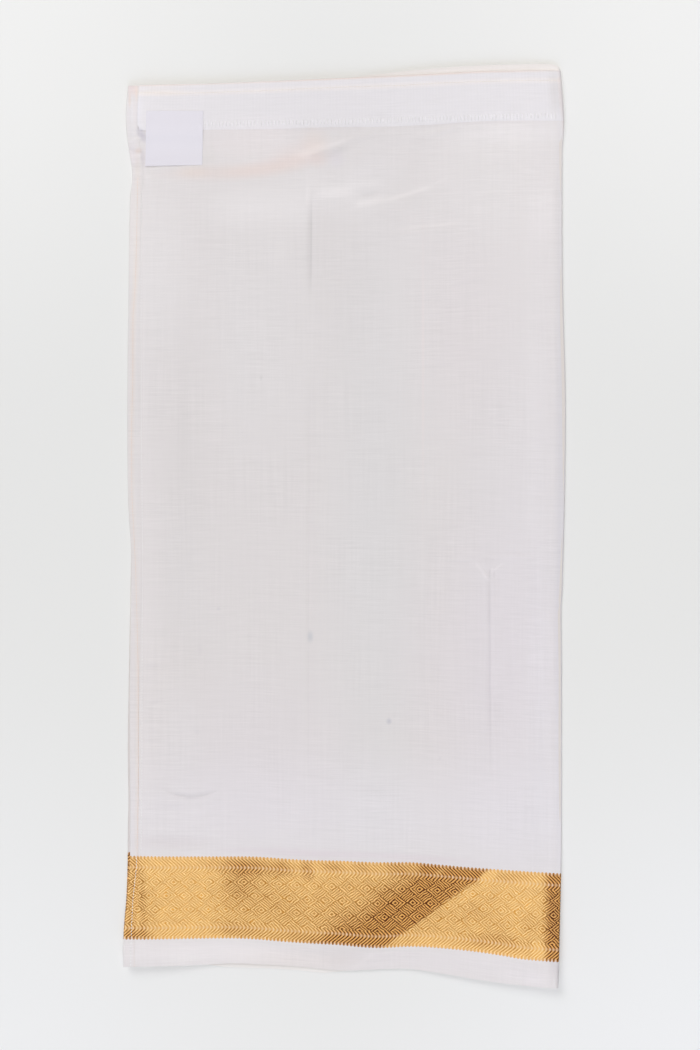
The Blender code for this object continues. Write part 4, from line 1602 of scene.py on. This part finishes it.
def layer_path():
    """Stations along the winding: nominal x, share of the height, and bulge left or right."""
    nominal, height, bulge = [], [], []
    turns = np.linspace(0.0, math.pi, LAYER_FOLD_STEPS + 1)
    for part, start, end in LAYER_PATH:
        if part.endswith("fold"):
            side = 1.0 if part == "right fold" else -1.0
            inner = turns if part == "left fold" and start == 0.0 else turns[1:-1]
            nominal.append(np.full(len(inner), LAYER_COLUMNS[-1] if side > 0 else LAYER_COLUMNS[0]))
            height.append(start + (end - start) * (1.0 - np.cos(inner)) / 2)
            bulge.append(side * abs(end - start) / 2 * np.sin(inner))
        else:
            run = LAYER_COLUMNS if part == "rightwards" else LAYER_COLUMNS[::-1]
            nominal.append(run[1:] if start == 0.2 else run)
            height.append(np.full(len(nominal[-1]), start))
            bulge.append(np.zeros(len(nominal[-1])))
    return (np.concatenate(part)[:, None] for part in (nominal, height, bulge))


def waves(place, height, *rows):
    """Small waves along an edge, each (swing, length over tau, shift from layer to layer)."""
    return sum(swing * np.sin(place / length + height * shift) for swing, length, shift in rows)


def in_zone(value, zone):
    """0 up to the start of a zone and 1 beyond its soft border, from (start, width of the border)."""
    return ease((value - zone[0]) / zone[1])


def lay_layers():
    """The winding sheet of the four inner panels."""
    nominal, height, bulge = layer_path()
    rows, places = [], []
    for stretch in ("selvedge", "zari", "ground", "band"):
        low, high, _, v_low, v_high = STRETCHES[stretch]
        count = max(LEAST_ROWS, round((v_high - v_low) / LAYER_ROW_STEP))
        part = np.linspace(0.0, 1.0, count)[(0 if not rows else 1):]
        part = 1.0 - (1.0 - part) ** 2 if stretch == "band" else part
        y_low = along(low, nominal)
        rows.append(y_low + part[None, :] * (along(high, nominal) - y_low))
        places.append(v_low + part * (v_high - v_low))
    y = np.concatenate(rows, axis=1)
    v = np.concatenate(places)[None, :] + 0.0 * y
    share_at, from_left, from_bottom, from_top = (np.array(column) for column in zip(*LAYER_ENDS))
    x = plan_x(nominal, y)
    total = face(x, y) - under(x, y) - CLOTH_THICKNESS
    wander = waves(y, height, (0.45, 23.0, 19.0), (0.3, 9.1, 31.0))
    inset = np.interp(height, share_at, from_left) + wander * hump(height / 2.0)
    at_left = nominal == LAYER_COLUMNS[0]
    x = np.where(at_left, along(LEFT_EDGE, y) + inset + 0.6, x)
    x = x + bulge * total * np.where(at_left, 0.9, 1.0)
    below = np.interp(height, share_at, from_bottom) + waves(nominal, height, (0.3, 31.0, 23.0))
    above = np.interp(height, share_at, from_top) + waves(nominal, height, (0.3, 27.0, 17.0))
    above = above - along(TOP_PEEK, x) * ease((height - PEEK_ABOVE + 0.1) / 0.1)
    below = below - along(BOTTOM_PEEK, x) * ease((PEEK_BELOW + 0.1 - height) / 0.1)
    to_bottom, to_top = (hump(np.clip(a / LAYER_END_FADE, 0.0, 1.0)) for a in (v - v[:, :1], v[:, -1:] - v))
    y = y + below * to_bottom - above * to_top
    sag = waves(y, height, (0.1, 37.0, 12.0)) * hump((x - along(LEFT_EDGE, y)) / 60.0)
    z = under(x, y) + CLOTH_THICKNESS / 2 + height * total * 0.96 + sag * (height > 0.1)
    u = np.cumsum(np.hypot(*(np.diff(a[:, 40], prepend=a[0, 40]) for a in (x, z))))[:, None] + 0.0 * y
    # painted light and painted shade on the layers' ends and left folds
    tints = (
        (in_zone(y, TOP_LAYER_START), TOP_LAYER_LIGHT),
        (in_zone(-y, BOTTOM_LAYER_START), BOTTOM_LAYER_LIGHT),
        (in_zone(-y, LEFT_LAYER_BELOW) * in_zone(-x, LEFT_LAYER_BESIDE), LEFT_LAYER_SHADE),
        (ease((TOP_RIM_START[0] + v - v[:, -1:]) / TOP_RIM_START[1]), TOP_LAYER_RIM_SHADE),
    )
    painted_light_change = sum(share[..., None] * np.array(tint) for share, tint in tints) / 100.0
    return make_sheet("inner_layers", (x, y, z), (u, v), layers, colours={"tint_and_painted_light": 1.0 + painted_light_change})


inner_layers = dress(lay_layers(), "layers", "hidden_layers")

# %% [markdown]
# ## The label
#
# A small square of white satin ribbon, sewn on over the band's lower edge. Its place is bare. It steps down
# off the band, and one free corner lifts a little.

# %% Label
LABEL_LEFT = -198.0
LABEL_TOP = 415.0
LABEL_WIDTH = 57.0
LABEL_HEIGHT = 55.0
LABEL_TURN = math.radians(1.2)
LABEL_CELLS = 40
LABEL_CURL = 1.4
LABEL_STEP = (14.0, 2.0)
LABEL_LIFT = 0.55
LABEL_THICKNESS = 0.35


def label_point(across_share, up_share):
    """x, y, z of a place on the label, from its lower left corner."""
    across = LABEL_WIDTH * across_share
    down = LABEL_HEIGHT * (1.0 - up_share)
    x = LABEL_LEFT + across * math.cos(LABEL_TURN) - down * math.sin(LABEL_TURN)
    y = LABEL_TOP - down * math.cos(LABEL_TURN) + across * math.sin(LABEL_TURN) * down / LABEL_HEIGHT
    far, near = LABEL_STEP
    on_band = ease((y - along(BAND_LOW, x) + far) / (far - near))
    lift = LABEL_CURL * ((1.0 - across_share) * (1.0 - up_share)) ** 2
    ripple = 0.1 * np.sin(across / 9.0 + 1.0) * np.sin(down / 11.0)
    return x, y, face(x, y) + LABEL_LIFT + HEM_PROUD * on_band + lift + ripple


steps = np.linspace(0.0, 1.0, LABEL_CELLS + 1)
across_grid, up_grid = np.meshgrid(steps, steps, indexing="ij")
label_points = label_point(across_grid, up_grid)
label_weave = (across_grid * LABEL_WIDTH, up_grid * LABEL_HEIGHT)
label = make_sheet("label_ribbon", label_points, label_weave, satin, thickness=LABEL_THICKNESS)
dress(label, "label", "label")

# %% [markdown]
# ## Sewing
#
# Every stitch is a short bar of thread with rounded ends, set along a line on the cloth. One function makes a
# row of them as a single joined mesh. The band has a row of cream stitches near its top and a ladder of short
# upright bars over its lower edge, and the hem is sewn down with two rows.

# %% Stitch maker
STITCH_SIDES = 6
STITCH_PROFILE = ((-0.5, 0.35), (-0.42, 0.85), (-0.2, 1.0), (0.2, 1.0), (0.42, 0.85), (0.5, 0.35))


def spots_along(path, pitch):
    """Evenly spaced places along a path of (x, y) points, with their directions."""
    x, y = np.array(path).T
    reach = np.concatenate([[0.0], np.cumsum(np.hypot(np.diff(x), np.diff(y)))])
    places = np.arange(pitch / 2, reach[-1], pitch)
    at, ahead, back = (
        [np.interp(spot, reach, axis) for axis in (x, y)] for spot in (places, places + 1.0, places - 1.0)
    )
    return *at, np.arctan2(ahead[1] - back[1], ahead[0] - back[0])


def sew(name, path, pitch, length, thickness, material, proud, cross, seed):
    """A row of stitches along a path. cross turns each stitch away from the row, in degrees."""
    jitter = np.random.default_rng(seed)
    bm = bmesh.new()
    for x, y, heading in zip(*spots_along(path, pitch)):
        turn = heading + math.radians(cross) + jitter.normal(0.0, 0.03)
        own = length * (1.0 + jitter.normal(0.0, 0.05))
        rings = []
        for along_share, girth in STITCH_PROFILE:
            ring = []
            reach = own * along_share
            centre = Vector((x + reach * math.cos(turn), y + reach * math.sin(turn), 0.0))
            sink = thickness * 0.35 * (2.0 * along_share) ** 2
            surface = float(face(np.array(centre.x), np.array(centre.y))) + proud
            centre.z = surface + thickness * 0.2 - sink
            for side in range(STITCH_SIDES):
                angle = math.tau * side / STITCH_SIDES
                radius = thickness / 2 * girth
                aside = radius * math.cos(angle)
                offset = Vector((-math.sin(turn) * aside, math.cos(turn) * aside, radius * math.sin(angle)))
                ring.append(bm.verts.new((centre + offset) * MM))
            rings.append(ring)
        for first, second in zip(rings, rings[1:]):
            for side in range(STITCH_SIDES):
                after = (side + 1) % STITCH_SIDES
                bm.faces.new((first[side], first[after], second[after], second[side]))
        bm.faces.new(rings[0][::-1])
        bm.faces.new(rings[-1])
    bmesh.ops.recalc_face_normals(bm, faces=bm.faces[:])
    mesh = to_mesh(name, bm)
    mesh.shade_smooth()
    return add_mesh(name, mesh, material)


# %% Rows of stitches
BAND_TOP_LINE = (
    # x, y
    (-204.5, 433.2), (-164.5, 432.2), (-74.5, 435.2), (-4.5, 438.7), (55.5, 440.2),
    (95.5, 442.7), (155.5, 444.7), (212, 445.7),
)
LADDER_LINE = (
    # x, y
    (-200.5, 400.2), (-104.5, 402.5), (-4.5, 404.3), (95.5, 407.3), (195.5, 410.2), (212, 410.4),
)
HEM_PEACH_LINE = [(x, y) for y, x in HEM_STRIPE_LINE if y < 360.0][::-1]
HEM_WHITE_LINE = (
    (-202.6, 360), (-203.4, 250), (-203.2, 100), (-202, -20), (-202.8, -270), (-203.6, -326),
)
HEM_GOLD_LINE = ((-207.9, -331.0), (-208.6, -345.0), (-211.7, -373.7), (-213.0, -411.0), (-213.4, -438.0))

STITCH_ROWS = (
    # piece, line, pitch, length, thickness, thread, how proud, turn off the line, seed, slot
    ("band_upper_stitches", BAND_TOP_LINE, 3.0, 2.3, 0.55, cream_thread, HEM_PROUD, 0.0, 2, "band"),
    ("band_ladder_stitches", LADDER_LINE, 3.5, 5.4, 0.8, white_thread, HEM_PROUD, 90.0, 3, "band"),
    ("hem_inner_stitches", HEM_WHITE_LINE, 3.0, 2.2, 0.5, white_thread, 0.0, 0.0, 5, "cotton"),
    ("hem_outer_stitches", HEM_PEACH_LINE, 3.0, 2.2, 0.5, peach_thread, HEM_PROUD, 0.0, 4, "cotton"),
    ("hem_border_stitches", HEM_GOLD_LINE, 3.0, 2.1, 0.7, white_thread, HEM_PROUD, 0.0, 6, "cotton"),
)
upper_stitches, ladder_stitches, hem_inner_stitches, hem_outer_stitches, hem_gold_stitches = (
    dress(sew(name, *details), slot) for name, *details, slot in STITCH_ROWS
)
